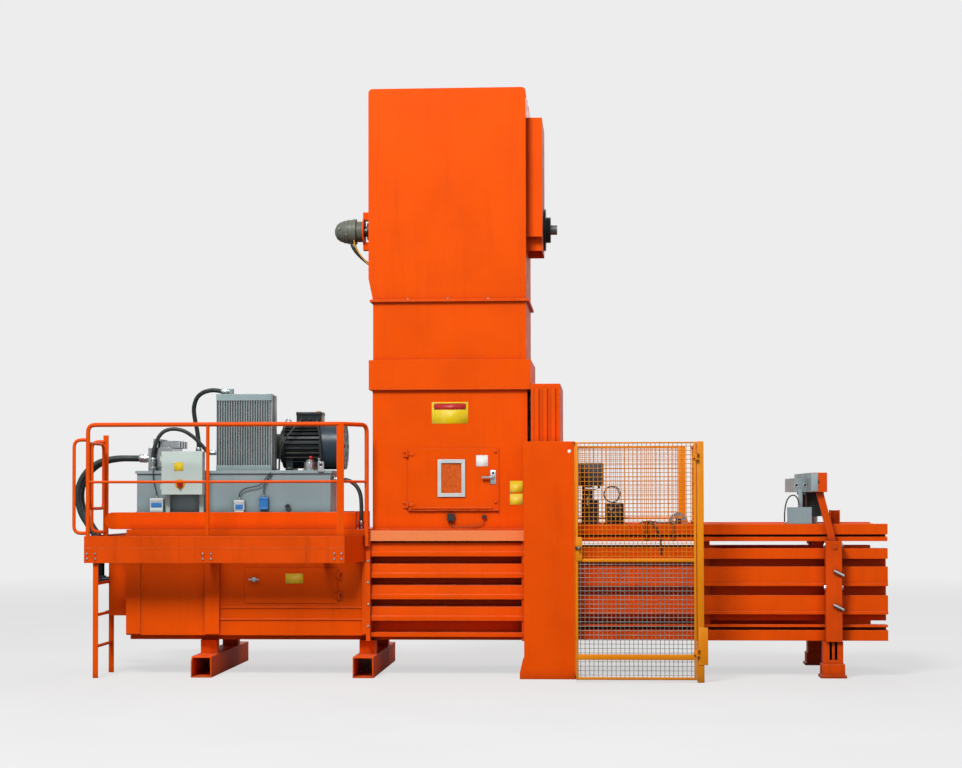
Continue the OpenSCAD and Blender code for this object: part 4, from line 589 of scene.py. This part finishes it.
hoses = [
    hose("pressure_hose", MAIN, 0.031, -0.070),
    hose("return_hose", MAIN, 0.031, 0.070),
    hose("cooler_hose", COOLER, 0.022),
    hose("arch_hose", ARCH, 0.019),
    hose("tank_return_hose", RETURN, 0.020),
    hose("clamp_hose", CLAMP, 0.0065),
    hose("interlock_cable", SWITCH, 0.004, with_ends=False, material=PAINTED_CABLE),
]
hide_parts("hydraulic_hoses")


# Guard cage: square tube frames and fine welded wire in place of the coarse rods

GUARD_Y, GUARD_H = -1.350, 2.240
MESH_PITCH, WIRE_R = 0.040, 0.0021
DOOR_PITCH, DOOR_WIRE_R = 0.041, 0.0031
FENCE_WIRE_R = 0.0030
DOOR_X = (2.034, 3.154)
POST_X = (3.158, 3.223)
POST_BACK = GUARD_Y + 0.040
SIDE_X = (3.188, 3.212)
SIDE_Y = -0.7123
FENCE_Y = 0.660
FENCE_FRONT = 0.640
STILE = 0.024
CHANNEL_TOP = 1.4603  # 0.3 mm over the channel's top frame
SILL_TOP = 1.484
TOP_BAR_Z = GUARD_H - 0.024


def wire_mesh(lo, hi, level, across, pitch=MESH_PITCH, r=WIRE_R):
    """Upright and level wires on a rectangle. across is 1 for a panel square to Y and 0 for one square to X;
    the level wires lie on the front of the upright ones, as welded mesh does."""
    def wire(u0, z0, u1, z1, depth):
        p, q = (u0, depth, z0), (u1, depth, z1)
        if across == 0:
            p, q = (depth, u0, z0), (depth, u1, z1)
        return rod(p, q, r, 5)

    uprights = [wire(u, lo[1], u, hi[1], level) for u in np.arange(lo[0] + pitch / 2, hi[0], pitch)]
    levels = [wire(lo[0], z, hi[0], z, level - 1.8 * r) for z in np.arange(lo[1] + pitch / 2, hi[1], pitch)]
    return uprights + levels


def knuckles(x, y, heights, offsets, h, r):
    """Hinge barrels of height h on one upright axis, one at each offset from each of the heights."""
    return [rod((x, y, z + s), (x, y, z + s + h), r, 14) for z in heights for s in offsets]


HINGE_AT = (3.156, -1.374)
HINGE_Z = (0.260, 2.080)
PIN_R = 0.005
BARREL_R = 0.011
door_y = (GUARD_Y - STILE / 2, GUARD_Y + STILE / 2)
RAIL_Z = ((0.025, 0.050), (0.210, 0.262), (1.118, 1.150), (2.220, 2.235))
door_parts = [
    slab((x, door_y[0], RAIL_Z[0][0]), (x + STILE, door_y[1], RAIL_Z[-1][1]), 0.005)
    for x in (DOOR_X[0], DOOR_X[1] - STILE)
]
door_parts += [
    slab((DOOR_X[0] + 0.002, door_y[0] + 0.001, a), (DOOR_X[1] - 0.002, door_y[1] - 0.001, b), 0.005, 0)
    for a, b in RAIL_Z
]
door_parts.append(
    slab((DOOR_X[0] + 0.006, door_y[0] - 0.008, 1.130), (DOOR_X[0] + 0.062, door_y[0] + 0.001, 1.350), 0.002)
)
door_parts += [
    slab((DOOR_X[1] - 0.030, HINGE_AT[1] - 0.004, z), (HINGE_AT[0], door_y[0] + 0.001, z + 0.040), 0.002)
    for z in HINGE_Z
]
door_parts += knuckles(*HINGE_AT, HINGE_Z, (0.0,), 0.040, BARREL_R)
door = piece("guard_door_frame", door_parts, "guard_yellow", "guard_leaf")
# The upper panel is coated with the frame, the lower one is plain galvanised mesh.
PANELS = (("lower", 0.050, 1.118, GALVANISED), ("upper", 1.150, 2.220, FINISH["guard_yellow"]))
for name, z0, z1, skin in PANELS:
    wires = wire_mesh((DOOR_X[0] + STILE, z0), (DOOR_X[1] - STILE, z1), GUARD_Y, 1, DOOR_PITCH, DOOR_WIRE_R)
    piece("guard_door_wire_" + name, wires, skin, "guard_leaf")
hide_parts("guard_door")

TOWER_STRIP = (DOOR_X[0] - 0.0097, DOOR_X[0] - 0.001)
BARREL_OFFSETS = (-0.0143, 0.0403)
frame_parts = [
    slab((POST_X[0], GUARD_Y, 0), (POST_X[1], POST_BACK, GUARD_H), 0.006),
    slab((POST_X[0] + 0.012, GUARD_Y - 0.006, 0.164), (POST_X[1] + 0.034, GUARD_Y, 0.512), 0.002),
    slab((SIDE_X[0], POST_BACK, 0.060), (SIDE_X[1], SIDE_Y, 0.090), 0.004, 1),
    slab((SIDE_X[0], POST_BACK, TOP_BAR_Z), (SIDE_X[1], FENCE_FRONT, GUARD_H), 0.004, 1),
    slab((SIDE_X[0], SIDE_Y - 0.024, 0.060), (SIDE_X[1], SIDE_Y, GUARD_H), 0.004),
    slab((SIDE_X[0], SIDE_Y - 0.001, CHANNEL_TOP), (SIDE_X[1], FENCE_FRONT, SILL_TOP), 0.004, 1),
    slab((TOWER_STRIP[0], GUARD_Y + 0.004, 0.030), (TOWER_STRIP[1], -0.990, 0.070), 0.002, 1),
    slab((TOWER_STRIP[0], GUARD_Y + 0.004, GUARD_H - 0.040), (TOWER_STRIP[1], -0.990, GUARD_H), 0.002, 1),
    slab((TOWER_STRIP[0], GUARD_Y + 0.004, 0.030), (TOWER_STRIP[1], GUARD_Y + 0.030, GUARD_H), 0.002),
]
side_middle = sum(SIDE_X) / 2
frame_parts += wire_mesh((POST_BACK, 0.090), (SIDE_Y - 0.020, TOP_BAR_Z), side_middle, 0)
frame_parts += wire_mesh((SIDE_Y, SILL_TOP), (FENCE_FRONT, TOP_BAR_Z), side_middle, 0, 0.050)
for z in HINGE_Z:
    frame_parts += [
        slab(
            (HINGE_AT[0] + 0.002, HINGE_AT[1] - 0.004, z + s),
            (POST_X[0] + 0.020, GUARD_Y + 0.002, z + s + 0.014), 0.002,
        )
        for s in BARREL_OFFSETS
    ]
frame_parts += knuckles(*HINGE_AT, HINGE_Z, BARREL_OFFSETS, 0.014, BARREL_R)
frame_parts += [rod((*HINGE_AT, z - 0.0143), (*HINGE_AT, z + 0.0543), PIN_R, 10) for z in HINGE_Z]
cage = piece("guard_frame_mesh", frame_parts, "guard_yellow")
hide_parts("guard_frame")

fence_parts = [
    slab((a, FENCE_Y - 0.012, CHANNEL_TOP), (b, FENCE_Y + 0.012, GUARD_H), 0.004)
    for a, b in ((2.004, 2.028), (3.062, 3.137))
]
fence_parts += [
    slab((2.016, FENCE_Y - 0.010, GUARD_H - 0.020), (3.136, FENCE_Y + 0.010, GUARD_H), 0.004, 0),
    slab((2.016, FENCE_Y - 0.010, 1.490), (3.136, FENCE_Y + 0.010, 1.510), 0.004, 0),
]
fence_parts += wire_mesh((2.016, 1.510), (3.063, GUARD_H - 0.020), FENCE_Y, 1, r=FENCE_WIRE_R)
fence = piece("rear_fence_mesh", fence_parts, "guard_yellow")
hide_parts("rear_fence")


# Small parts on the power pack

def ring(at, r, wire, axis, sides=10, turns=36):
    """A wire of radius wire, bent to a circle of radius r round a point, square to an axis."""
    a = np.linspace(0, 2 * math.pi, turns, endpoint=False)[:, None]
    b = np.linspace(0, 2 * math.pi, sides, endpoint=False)[None, :, None]
    u, v = [np.roll(axis, k) for k in (1, 2)]
    out = np.cos(a) * u + np.sin(a) * v
    middle = np.array(at) + r * out
    rows = middle[:, None] + wire * (np.cos(b) * out[:, None] + np.sin(b) * np.array(axis))
    return rows.reshape(-1, 3), (grid_faces(turns + 1, sides) % (turns * sides)).tolist()


def on_circle(r, count, start=0.0):
    """Pairs of offsets for count places spread evenly on a circle of radius r."""
    return [(r * math.cos(a), r * math.sin(a)) for a in np.arange(count) * 2 * math.pi / count + start]


X, Y, Z = np.eye(3)
MOTOR = (0.150, 2.240)  # Y and Z of its shaft
MOTOR_R = 0.225
MOTOR_EYE_X = -0.900
BOX_X = (-0.800, -0.545)  # its terminal box
BOX_FRONT = 0.040
BOX_TOP = 2.586
GLAND_X = (-0.745, -0.665, -0.585)
TANK_LID = 1.9903  # 0.3 mm over the tank's lid
BREATHER = (-0.608, -0.330)  # X and Y
GLAND = [(0, 0.014), (0.008, 0.014), (0.010, 0.011), (0.020, 0.011), (0.024, 0.007), (0.024, 0.004)]
MOTOR_GLAND = [
    (0, 0.024), (0.010, 0.024), (0.012, 0.020), (0.030, 0.019), (0.034, 0.014), (0.036, 0.010), (0.020, 0.009)
]
box_parts = [
    slab((BOX_X[0] - 0.006, BOX_FRONT - 0.006, 2.548), (BOX_X[1] + 0.006, 0.266, BOX_TOP), 0.012),
    slab((BOX_X[0] + 0.03, BOX_FRONT - 0.003, 2.440), (BOX_X[1] - 0.03, BOX_FRONT + 0.01, 2.460), 0.002),
]
box_parts += [lathe((x, BOX_FRONT + 0.002, 2.497), -Y, MOTOR_GLAND, 18) for x in GLAND_X]
piece("motor_box_lid", box_parts, "motor_black")
piece("motor_box_screws", [
    hex_head((x, y, BOX_TOP), Z, 0.007)
    for x in (BOX_X[0] + 0.008, BOX_X[1] - 0.008) for y in (0.048, 0.252)
], "zinc_steel")
piece("motor_eye", [
    ring((MOTOR_EYE_X, MOTOR[0], MOTOR[1] + MOTOR_R + 0.026), 0.026, 0.008, Y),
    lathe((MOTOR_EYE_X, MOTOR[0], MOTOR[1] + MOTOR_R - 0.036), Z, [
        (0, 0.022), (0.034, 0.022), (0.038, 0.016), (0.042, 0.010)], 18),
], "zinc_steel")
piece("cowl_rim", [
    lathe((-0.555, *MOTOR), X, [(0, 0.2352), (0.004, 0.2385), (0.012, 0.2385), (0.016, 0.2352)], 64),
], FINISH["cowl_blue"])
piece("motor_foot_bolts", [
    hex_head((x, MOTOR[0] + s * 0.165, 2.016), Z, 0.014)
    for x in (-0.865, -0.600) for s in (-1, 1)
], "zinc_steel")
piece("breather_collar", [
    lathe((*BREATHER, TANK_LID), Z, [(0, 0.074), (0.006, 0.074), (0.008, 0.072), (0.008, 0.059)], 40),
    ring((*BREATHER, 2.066), 0.058, 0.004, Z),
] + [
    hex_head((BREATHER[0] + dx, BREATHER[1] + dy, 1.998), Z, 0.005) for dx, dy in on_circle(0.066, 6)
], "zinc_steel")
# Left edge, right edge and top of each sensor on the tank's front
SENSORS = [(-2.180, -2.050, 1.720), (-1.340, -1.240, 1.700), (-1.090, -1.005, 1.730)]
PANEL_Y = -0.475
sensor_parts, glands = [], []
for x0, x1, top in SENSORS:
    glands.append(lathe(((x0 + x1) / 2, -0.452, top), Z, GLAND, 14))
    sensor_parts += [
        slab(
            (x0 - 0.003, PANEL_Y - 0.004, top - 0.030), (x1 + 0.003, PANEL_Y + 0.010, top - 0.004), 0.003, 1
        ),
        slab(
            (x0 + 0.004, PANEL_Y - 0.003, top - 0.125), (x1 - 0.004, PANEL_Y + 0.004, top - 0.104), 0.002, 1
        ),
    ]
piece("sensor_lids", sensor_parts[:4], SENSOR_WHITE)
piece("sensor_lid_blue", sensor_parts[4:], SENSOR_BLUE)
piece("sensor_glands", glands, "zinc_steel")
piece("sensor_fields", [
    slab((x0 + 0.012, PANEL_Y - 0.0035, top - 0.092), (x1 - 0.012, PANEL_Y + 0.002, top - 0.044), 0.001, 1)
    for x0, x1, top in SENSORS[:2]
], SENSOR_BLUE)
piece("level_glass", [
    lathe((-0.810, -0.460, 1.635), -Y, [(0, 0.018), (0.004, 0.018), (0.005, 0.012), (0.002, 0.011)], 24),
    ring((-0.810, -0.461, 1.635), 0.021, 0.004, Y),
], "black_plastic")


def cable(name, points, r=0.005, material="hose_rubber"):
    """A free signal or motor cable, with both ends inside what they enter."""
    path = smooth_path(points, 0.01)
    obj = piece(name, [tube(path, r, 8)], material)


cable("sensor_cable_blue", [
    (-1.0475, -0.452, 1.752), (-1.0475, -0.453, 1.800), (-1.035, -0.455, 1.850), (-1.000, -0.450, 1.910),
    (-0.965, -0.442, 1.960), (-0.940, -0.430, 1.995), (-0.925, -0.400, 2.002), (-0.915, -0.360, 2.000)])
cable("sensor_cable_white", [
    (-1.290, -0.452, 1.722), (-1.288, -0.454, 1.760), (-1.255, -0.456, 1.800), (-1.190, -0.457, 1.822),
    (-1.120, -0.457, 1.835), (-1.070, -0.455, 1.860), (-1.020, -0.450, 1.925), (-0.975, -0.440, 1.975),
    (-0.955, -0.420, 2.002), (-0.945, -0.380, 2.003)])
cable("sensor_cable_left", [
    (-2.115, -0.452, 1.742), (-2.120, -0.453, 1.780), (-2.135, -0.455, 1.840), (-2.150, -0.455, 1.920),
    (-2.152, -0.452, 1.985), (-2.135, -0.450, 2.016), (-2.095, -0.452, 2.022), (-2.050, -0.470, 2.022),
    (-2.032, -0.500, 2.022)])
cable("motor_cable_left", [
    (-0.745, 0.010, 2.497), (-0.748, -0.030, 2.492), (-0.775, -0.075, 2.455), (-0.830, -0.105, 2.385),
    (-0.890, -0.120, 2.300), (-0.930, -0.130, 2.200), (-0.945, -0.135, 2.100), (-0.945, -0.150, 2.035),
    (-0.940, -0.190, 2.004), (-0.935, -0.260, 2.002)], 0.009)
cable("motor_cable_right", [
    (-0.585, 0.010, 2.497), (-0.583, -0.035, 2.490), (-0.565, -0.085, 2.440), (-0.545, -0.110, 2.360),
    (-0.535, -0.118, 2.260), (-0.530, -0.120, 2.160), (-0.535, -0.122, 2.070), (-0.550, -0.135, 2.012),
    (-0.590, -0.170, 2.002), (-0.660, -0.220, 2.001)], 0.009)


# Small parts on the press line

def bolt_row(name, points, direction, r, body="frame"):
    """Hexagon heads of one size at the points, all facing one way."""
    piece(name, [hex_head(p, direction, r) for p in points], "zinc_steel", body)


# Tying unit: switch box lid and glands, cable loops on the drive body
piece("tying_box_lid", [
    slab((2.054, -0.528, 1.829), (2.296, -0.512, 2.056), 0.006, 1),
] + [
    lathe((x, -0.440, 1.838), -Z, [
        (0, 0.016), (0.012, 0.016), (0.014, 0.012), (0.030, 0.012), (0.034, 0.007)], 14)
    for x in (2.100, 2.140, 2.250)
], "black_plastic")
TYING_SCREWS = [(x, -0.528, z) for x in (2.066, 2.284) for z in (1.841, 2.044)]
bolt_row("tying_box_screws", TYING_SCREWS, -Y, 0.005)
piece("cable_loops", [
    ring((2.372, -0.640, 1.746), 0.074, 0.0045, Y),
    ring((2.380, -0.652, 1.750), 0.078, 0.0045, Y),
], "black_plastic")

DRIVE_FACE_Y = -0.674
DRIVE_AT = (2.400, 1.600)
piece("tying_fittings", [
    rod((2.118, -0.562, 1.802), (2.222, -0.562, 1.802), 0.013, 12),
    lathe((2.136, -0.552, 1.640), Z, [
        (0, 0.013), (0.014, 0.013), (0.015, 0.009), (0.066, 0.009), (0.067, 0.014), (0.082, 0.014)], 12),
    lathe((2.366, DRIVE_FACE_Y, 1.606), -Y, [(0, 0.017), (0.012, 0.017), (0.014, 0.011), (0.026, 0.010)], 6),
] + [
    hex_head((DRIVE_AT[0] + dx, DRIVE_FACE_Y, DRIVE_AT[1] + dz), -Y, 0.006)
    for dx, dz in on_circle(0.060, 8, 0.3)
], "zinc_steel")
piece("tying_plug", [
    lathe((2.396, DRIVE_FACE_Y, 1.566), -Y, [(0, 0.016), (0.008, 0.016), (0.009, 0.012), (0.018, 0.011)], 6)
], BRASS)

# Cables of the tying unit, tied down along the channel's top edge and led over it to the slots
cable("channel_cable_left", [
    (2.706, -0.600, 1.466), (2.706, -0.640, 1.470), (2.706, -0.680, 1.474), (2.706, -0.706, 1.470),
    (2.706, -0.7115, 1.440), (2.706, -0.7115, 1.380), (2.706, -0.7100, 1.330), (2.706, -0.6950, 1.305)],
    0.010)
cable("channel_cable_middle", [
    (2.724, -0.600, 1.466), (2.726, -0.640, 1.472), (2.735, -0.680, 1.474), (2.758, -0.706, 1.466),
    (2.785, -0.7115, 1.440), (2.815, -0.7115, 1.390), (2.838, -0.7115, 1.310), (2.845, -0.7115, 1.230),
    (2.845, -0.7080, 1.190), (2.845, -0.6990, 1.170)], 0.010)
cable("channel_cable_right", [
    (2.640, -0.664, 1.470), (2.690, -0.664, 1.480), (2.735, -0.662, 1.490), (2.790, -0.664, 1.476),
    (2.870, -0.664, 1.472), (2.930, -0.682, 1.474), (2.956, -0.706, 1.466), (2.963, -0.7115, 1.440),
    (2.964, -0.7115, 1.380), (2.964, -0.7100, 1.330), (2.964, -0.6950, 1.305)], 0.008)

# Gear motor: ribs round the cap, plugs, and the cables that run from it to the hood. Each rib has its place
# along the cap, as a share of 0.18 m, and the cap's radius there.
CAP_RIBS = ((0.30, 0.0957), (0.52, 0.1109), (0.74, 0.1191))
piece("gear_motor_ribs", [
    lathe((-0.400 + 0.18 * t, 0, ROTOR_Z), X, [
        (0, h - 0.001), (0.001, h + 0.004), (0.008, h + 0.004), (0.009, h - 0.001)], 40)
    for t, h in CAP_RIBS
], "gear_green")
piece("gear_motor_plugs", [
    hex_head((-0.345, -0.104, 4.420), (-0.35, -0.93, 0.12), 0.010),
    hex_head((-0.270, -0.112, 4.360), (-0.15, -0.95, -0.28), 0.012),
], "zinc_steel")
cable("gear_cable_front", [
    (-0.236, -0.050, 4.300), (-0.222, -0.062, 4.250), (-0.190, -0.066, 4.195), (-0.135, -0.062, 4.135),
    (-0.075, -0.052, 4.085), (-0.025, -0.045, 4.055), (0.013, -0.040, 4.045)], 0.013)
cable("gear_cable_back", [
    (-0.205, -0.010, 4.290), (-0.190, -0.018, 4.235), (-0.155, -0.020, 4.170), (-0.105, -0.016, 4.110),
    (-0.055, -0.010, 4.070), (-0.015, -0.005, 4.045), (0.013, 0.000, 4.035)], 0.013)
cable("gear_cable_yellow", [
    (-0.200, -0.085, 4.305), (-0.188, -0.095, 4.250), (-0.158, -0.098, 4.190), (-0.110, -0.094, 4.125),
    (-0.060, -0.086, 4.070), (-0.020, -0.080, 4.035), (0.013, -0.076, 4.020)], 0.006,
    material=CABLE_YELLOW)

# Clamp: cover strip, ports and grey face of the crosshead, webs of the foot, bracket behind the link, lock
# pins and side bolts on the beam
FOOT_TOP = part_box("clamp_foot")[1][2] - 0.001
FACE_Y = -0.5203
PORT_X, PORT_Z = (4.157, 4.240), 1.832
piece("clamp_strip", [slab((4.172, -0.530, 1.500), (4.214, FACE_Y, 1.795), 0.002)], "machine_grey")
piece("clamp_ports", [ring((x, -0.5215, PORT_Z), 0.017, 0.0035, Y) for x in PORT_X], "frame_silver")
# The black discs in the two ports are painted shade of their open bores.
piece("clamp_port_holes", [
    lathe((x, FACE_Y, PORT_Z), -Y, [(0, 0.015), (0.0012, 0.015)], 20) for x in PORT_X
], "black_plastic")
piece("clamp_face", [slab((4.2655, -0.8482, 1.770), (4.330, -0.8453, 1.945), 0.002, 1)], "machine_grey")
# Painted shade: the webs take the darker worn enamel, with its heavy darkening in corners, so that the foot's
# slots look dark.
piece("foot_webs", [
    slab((x0, s * y0, 0.1705), (x1, s * y1, FOOT_TOP), 0.002)
    for s in (-1, 1) for x0, x1, y0, y1 in ((4.4305, 4.5045, 0.642, 0.656), (4.455, 4.481, 0.655, 0.812))
], "orange_paint_dark")
piece("clamp_bracket", [
    slab((4.457, -0.700, CHANNEL_TOP), (4.467, -0.600, 1.593), 0.002),
    slab((4.542, -0.700, CHANNEL_TOP), (4.552, -0.600, 1.593), 0.002),
    slab((4.460, -0.612, 1.4604), (4.549, -0.602, 1.590), 0.002),
], "orange_paint")
LOCK_PIN = [
    (0, 0.009), (0.004, 0.014), (0.030, 0.014), (0.031, 0.019), (0.042, 0.019), (0.043, 0.014),
    (0.108, 0.014), (0.112, 0.010), (0.116, 0.004)
]
piece("lock_pins", [
    lathe((x, -0.866, z), (0.105, 0, -0.053), LOCK_PIN, 16) for x, z in ((4.468, 1.020), (4.466, 0.696))
], "zinc_steel")
for side, x, way in (("left", 4.400, -X), ("right", 4.550, X)):
    bolt_row("beam_bolts_" + side, [(x, y, z) for y in (-0.800, 0.800) for z in (1.258, 0.856)], way, 0.024)

# Fold of the fascia, handle plate and key of the access door, bezel of the main switch, clips on the motor
# box, knob of the breather, drain pipe and lug of the tank
PLAT_X, EDGE_Y = (-2.670, -0.160), 1.120
piece("fascia_folds", [
    slab(
        (PLAT_X[0] + 0.004, s * EDGE_Y - 0.0012, 1.236),
        (PLAT_X[1] - 0.004, s * EDGE_Y + 0.0012, 1.244), 0.001, 0,
    )
    for s in (-1, 1)
], "orange_paint_dark")
piece("handle_plate", [
    slab((1.198, -0.6335, 1.846), (1.254, -0.6283, 1.986), 0.003, 1)
], "zinc_steel", "access_leaf")
piece("handle_key", [
    lathe((1.226, -0.6335, 1.958), -Y, [(0, 0.011), (0.004, 0.011), (0.005, 0.008), (0.0035, 0.007)], 18)
], "black_plastic", "access_leaf")
SWITCH_Y = -0.6322
bezel, bezel_faces = ring((-1.845, SWITCH_Y, 1.855), 0.041, 0.010, Y)
bezel[:, 1] = SWITCH_Y + 0.14 * (bezel[:, 1] - SWITCH_Y)  # flattened to a seventh
piece("switch_bezel", [(bezel, bezel_faces)], CABLE_YELLOW, "box_leaf")
piece("motor_box_clips", [
    slab((-0.5395, 0.070, 2.490), (-0.5310, 0.084, 2.560), 0.002),
    slab((-0.600, 0.060, 2.5862), (-0.560, 0.074, 2.597), 0.002),
], CABLE_YELLOW)
piece("breather_knob", [
    lathe((-0.600, BREATHER[1], 2.094), Z, [
        (0, 0.008), (0.012, 0.008), (0.013, 0.017), (0.026, 0.019), (0.036, 0.015), (0.039, 0.006)], 20)
], "switch_red")
piece("drain_pipe", [
    lathe((-0.518, BREATHER[1], TANK_LID), Z, [
        (0, 0.022), (0.010, 0.022), (0.012, 0.012), (0.110, 0.012), (0.112, 0.015), (0.122, 0.015)], 16)
], "zinc_steel")
LUG_X, LUG_Z = -0.482, 2.046
# The black disc on the lug is painted shade of its hole.
piece("lug_hole", [lathe((LUG_X, -0.4591, LUG_Z), -Y, [(0, 0.015), (0.0010, 0.015)], 20)], "black_plastic")
piece("lug_rim", [ring((LUG_X, -0.4595, LUG_Z), 0.016, 0.002, Y)], "zinc_steel")


# Sign fields: plain plates with riveted corners

RIVET = [(0, 0.004), (0.001, 0.0038), (0.002, 0.0022)]
RIVET_INSET = 0.008


def plate(name, x, z, y, material, body="frame", t=0.0015):
    """A thin plate on a wall that faces the viewer, y being the wall's face, with a rivet in each corner."""
    piece(name, [slab((x[0], y - t, z[0]), (x[1], y - 0.0002, z[1]), 0.0006, 1)], material, body)
    corners = [(px, pz) for px in (x[0] + RIVET_INSET, x[1] - RIVET_INSET)
               for pz in (z[0] + RIVET_INSET, z[1] - RIVET_INSET)]
    heads = [lathe((px, y - t, pz), -Y, RIVET, 10) for px, pz in corners]
    piece(name + "_rivets", heads, "zinc_steel", body)


plate("chute_plate", (0.628, 0.984), (2.438, 2.649), -0.620, SIGN_YELLOW)
plate("chute_plate_head", (0.648, 0.964), (2.575, 2.636), -0.6215, SIGN_RED)
plate("door_plate", (1.061, 1.177), (2.020, 2.130), -0.628, SIGN_WHITE, "access_leaf")
plate("wall_plate_upper", (1.388, 1.513), (1.768, 1.880), -0.620, SIGN_YELLOW)
plate("wall_plate_lower", (1.388, 1.513), (1.649, 1.755), -0.620, SIGN_YELLOW)
plate("house_plate", (-0.785, -0.612), (0.890, 0.986), -0.7483, SIGN_YELLOW, "house_leaf")
plate("box_plate", (-1.905, -1.815), (1.985, 2.070), -0.632, SIGN_YELLOW, "box_leaf")


# Stage: pale floor and backdrop, soft lamps

BACKDROP = "#EDEDED"


def floor_material():
    """Pale painted floor. The camera sees mostly its own even tone, like the backdrop's, and partly the shade
    that falls on it, less of it far off. The light that bounces off it is that of a mid grey floor, so that
    the press keeps its dark underside."""
    m, t = blank("pale_floor_paint")
    where = add(t, "ShaderNodeTexCoord").outputs["Object"]
    colour = blended(t, spread(t, noise(t, where, 0.6, 4.0), 0.4, 0.7), linear("#E4E4E4"), linear("#DCDCDC"))
    matte = add(t, "ShaderNodeBsdfDiffuse", {"Color": colour})
    even = add(t, "ShaderNodeEmission", {"Color": linear(BACKDROP)})
    away = add(t, "ShaderNodeVectorMath", {0: where}, operation="LENGTH").outputs["Value"]
    evenness = spread(t, away, 8.0, 24.0, 0.72, 1.0)
    pale = add(t, "ShaderNodeMixShader", {0: evenness, 1: matte.outputs[0], 2: even.outputs[0]})
    dull = add(t, "ShaderNodeBsdfDiffuse", {"Color": linear("#8A8A8A")})
    seen = add(t, "ShaderNodeLightPath").outputs["Is Camera Ray"]
    s = add(t, "ShaderNodeMixShader", {0: seen, 1: dull.outputs[0], 2: pale.outputs[0]})
    add(t, "ShaderNodeOutputMaterial", {"Surface": s.outputs[0]})
    return m


FLOOR_R = 60.0
floor_mesh = bpy.data.meshes.new("floor")
floor_corners = [(x * FLOOR_R, y * FLOOR_R, 0) for x, y in ((-1, -1), (1, -1), (1, 1), (-1, 1))]
floor_mesh.from_pydata(floor_corners, [], [(0, 1, 2, 3)])
floor_mesh.materials.append(floor_material())
floor = bpy.data.objects.new("floor", floor_mesh)
bpy.context.scene.collection.objects.link(floor)


def lamp(name, at, aim, energy, size):
    """A square white lamp at a place, aimed at another."""
    data = bpy.data.lights.new(name, "AREA")
    data.energy, data.size = energy, size
    obj = bpy.data.objects.new(name, data)
    turn = (Vector(at) - Vector(aim)).to_track_quat("Z", "Y").to_matrix().to_4x4()
    obj.matrix_world = Matrix.Translation(at) @ turn
    bpy.context.scene.collection.objects.link(obj)


lamp("key", (-3.5, -14.0, 16.5), (1.0, 0.0, 1.8), 3700, 6.0)
lamp("fill", (8.0, -12.0, 6.0), (2.0, 0.0, 1.5), 150, 7.0)
lamp("rim", (3.0, 9.0, 10.0), (1.0, 0.0, 2.5), 500, 6.0)

world = bpy.data.worlds.new("studio")
bpy.context.scene.world = world
world.use_nodes = True
tree = world.node_tree
tree.nodes.clear()
# The camera, mirrors and panes see the backdrop's tone; the rest is lit by a weak white sky.
ray = add(tree, "ShaderNodeLightPath").outputs
seen = add(tree, "ShaderNodeMath", {0: ray["Is Camera Ray"], 1: ray["Is Glossy Ray"]}, operation="MAXIMUM")
seen = add(tree, "ShaderNodeMath", {0: seen.outputs[0], 1: ray["Is Transmission Ray"]}, operation="MAXIMUM")
light = add(tree, "ShaderNodeBackground", {"Color": linear("#FFFFFF"), "Strength": 0.22})
back = add(tree, "ShaderNodeBackground", {"Color": linear(BACKDROP), "Strength": 1.0})
both = add(tree, "ShaderNodeMixShader", {0: seen.outputs[0], 1: light.outputs[0], 2: back.outputs[0]})
add(tree, "ShaderNodeOutputWorld", {"Surface": both.outputs[0]})
bpy.context.scene.view_settings.view_transform = "Standard"
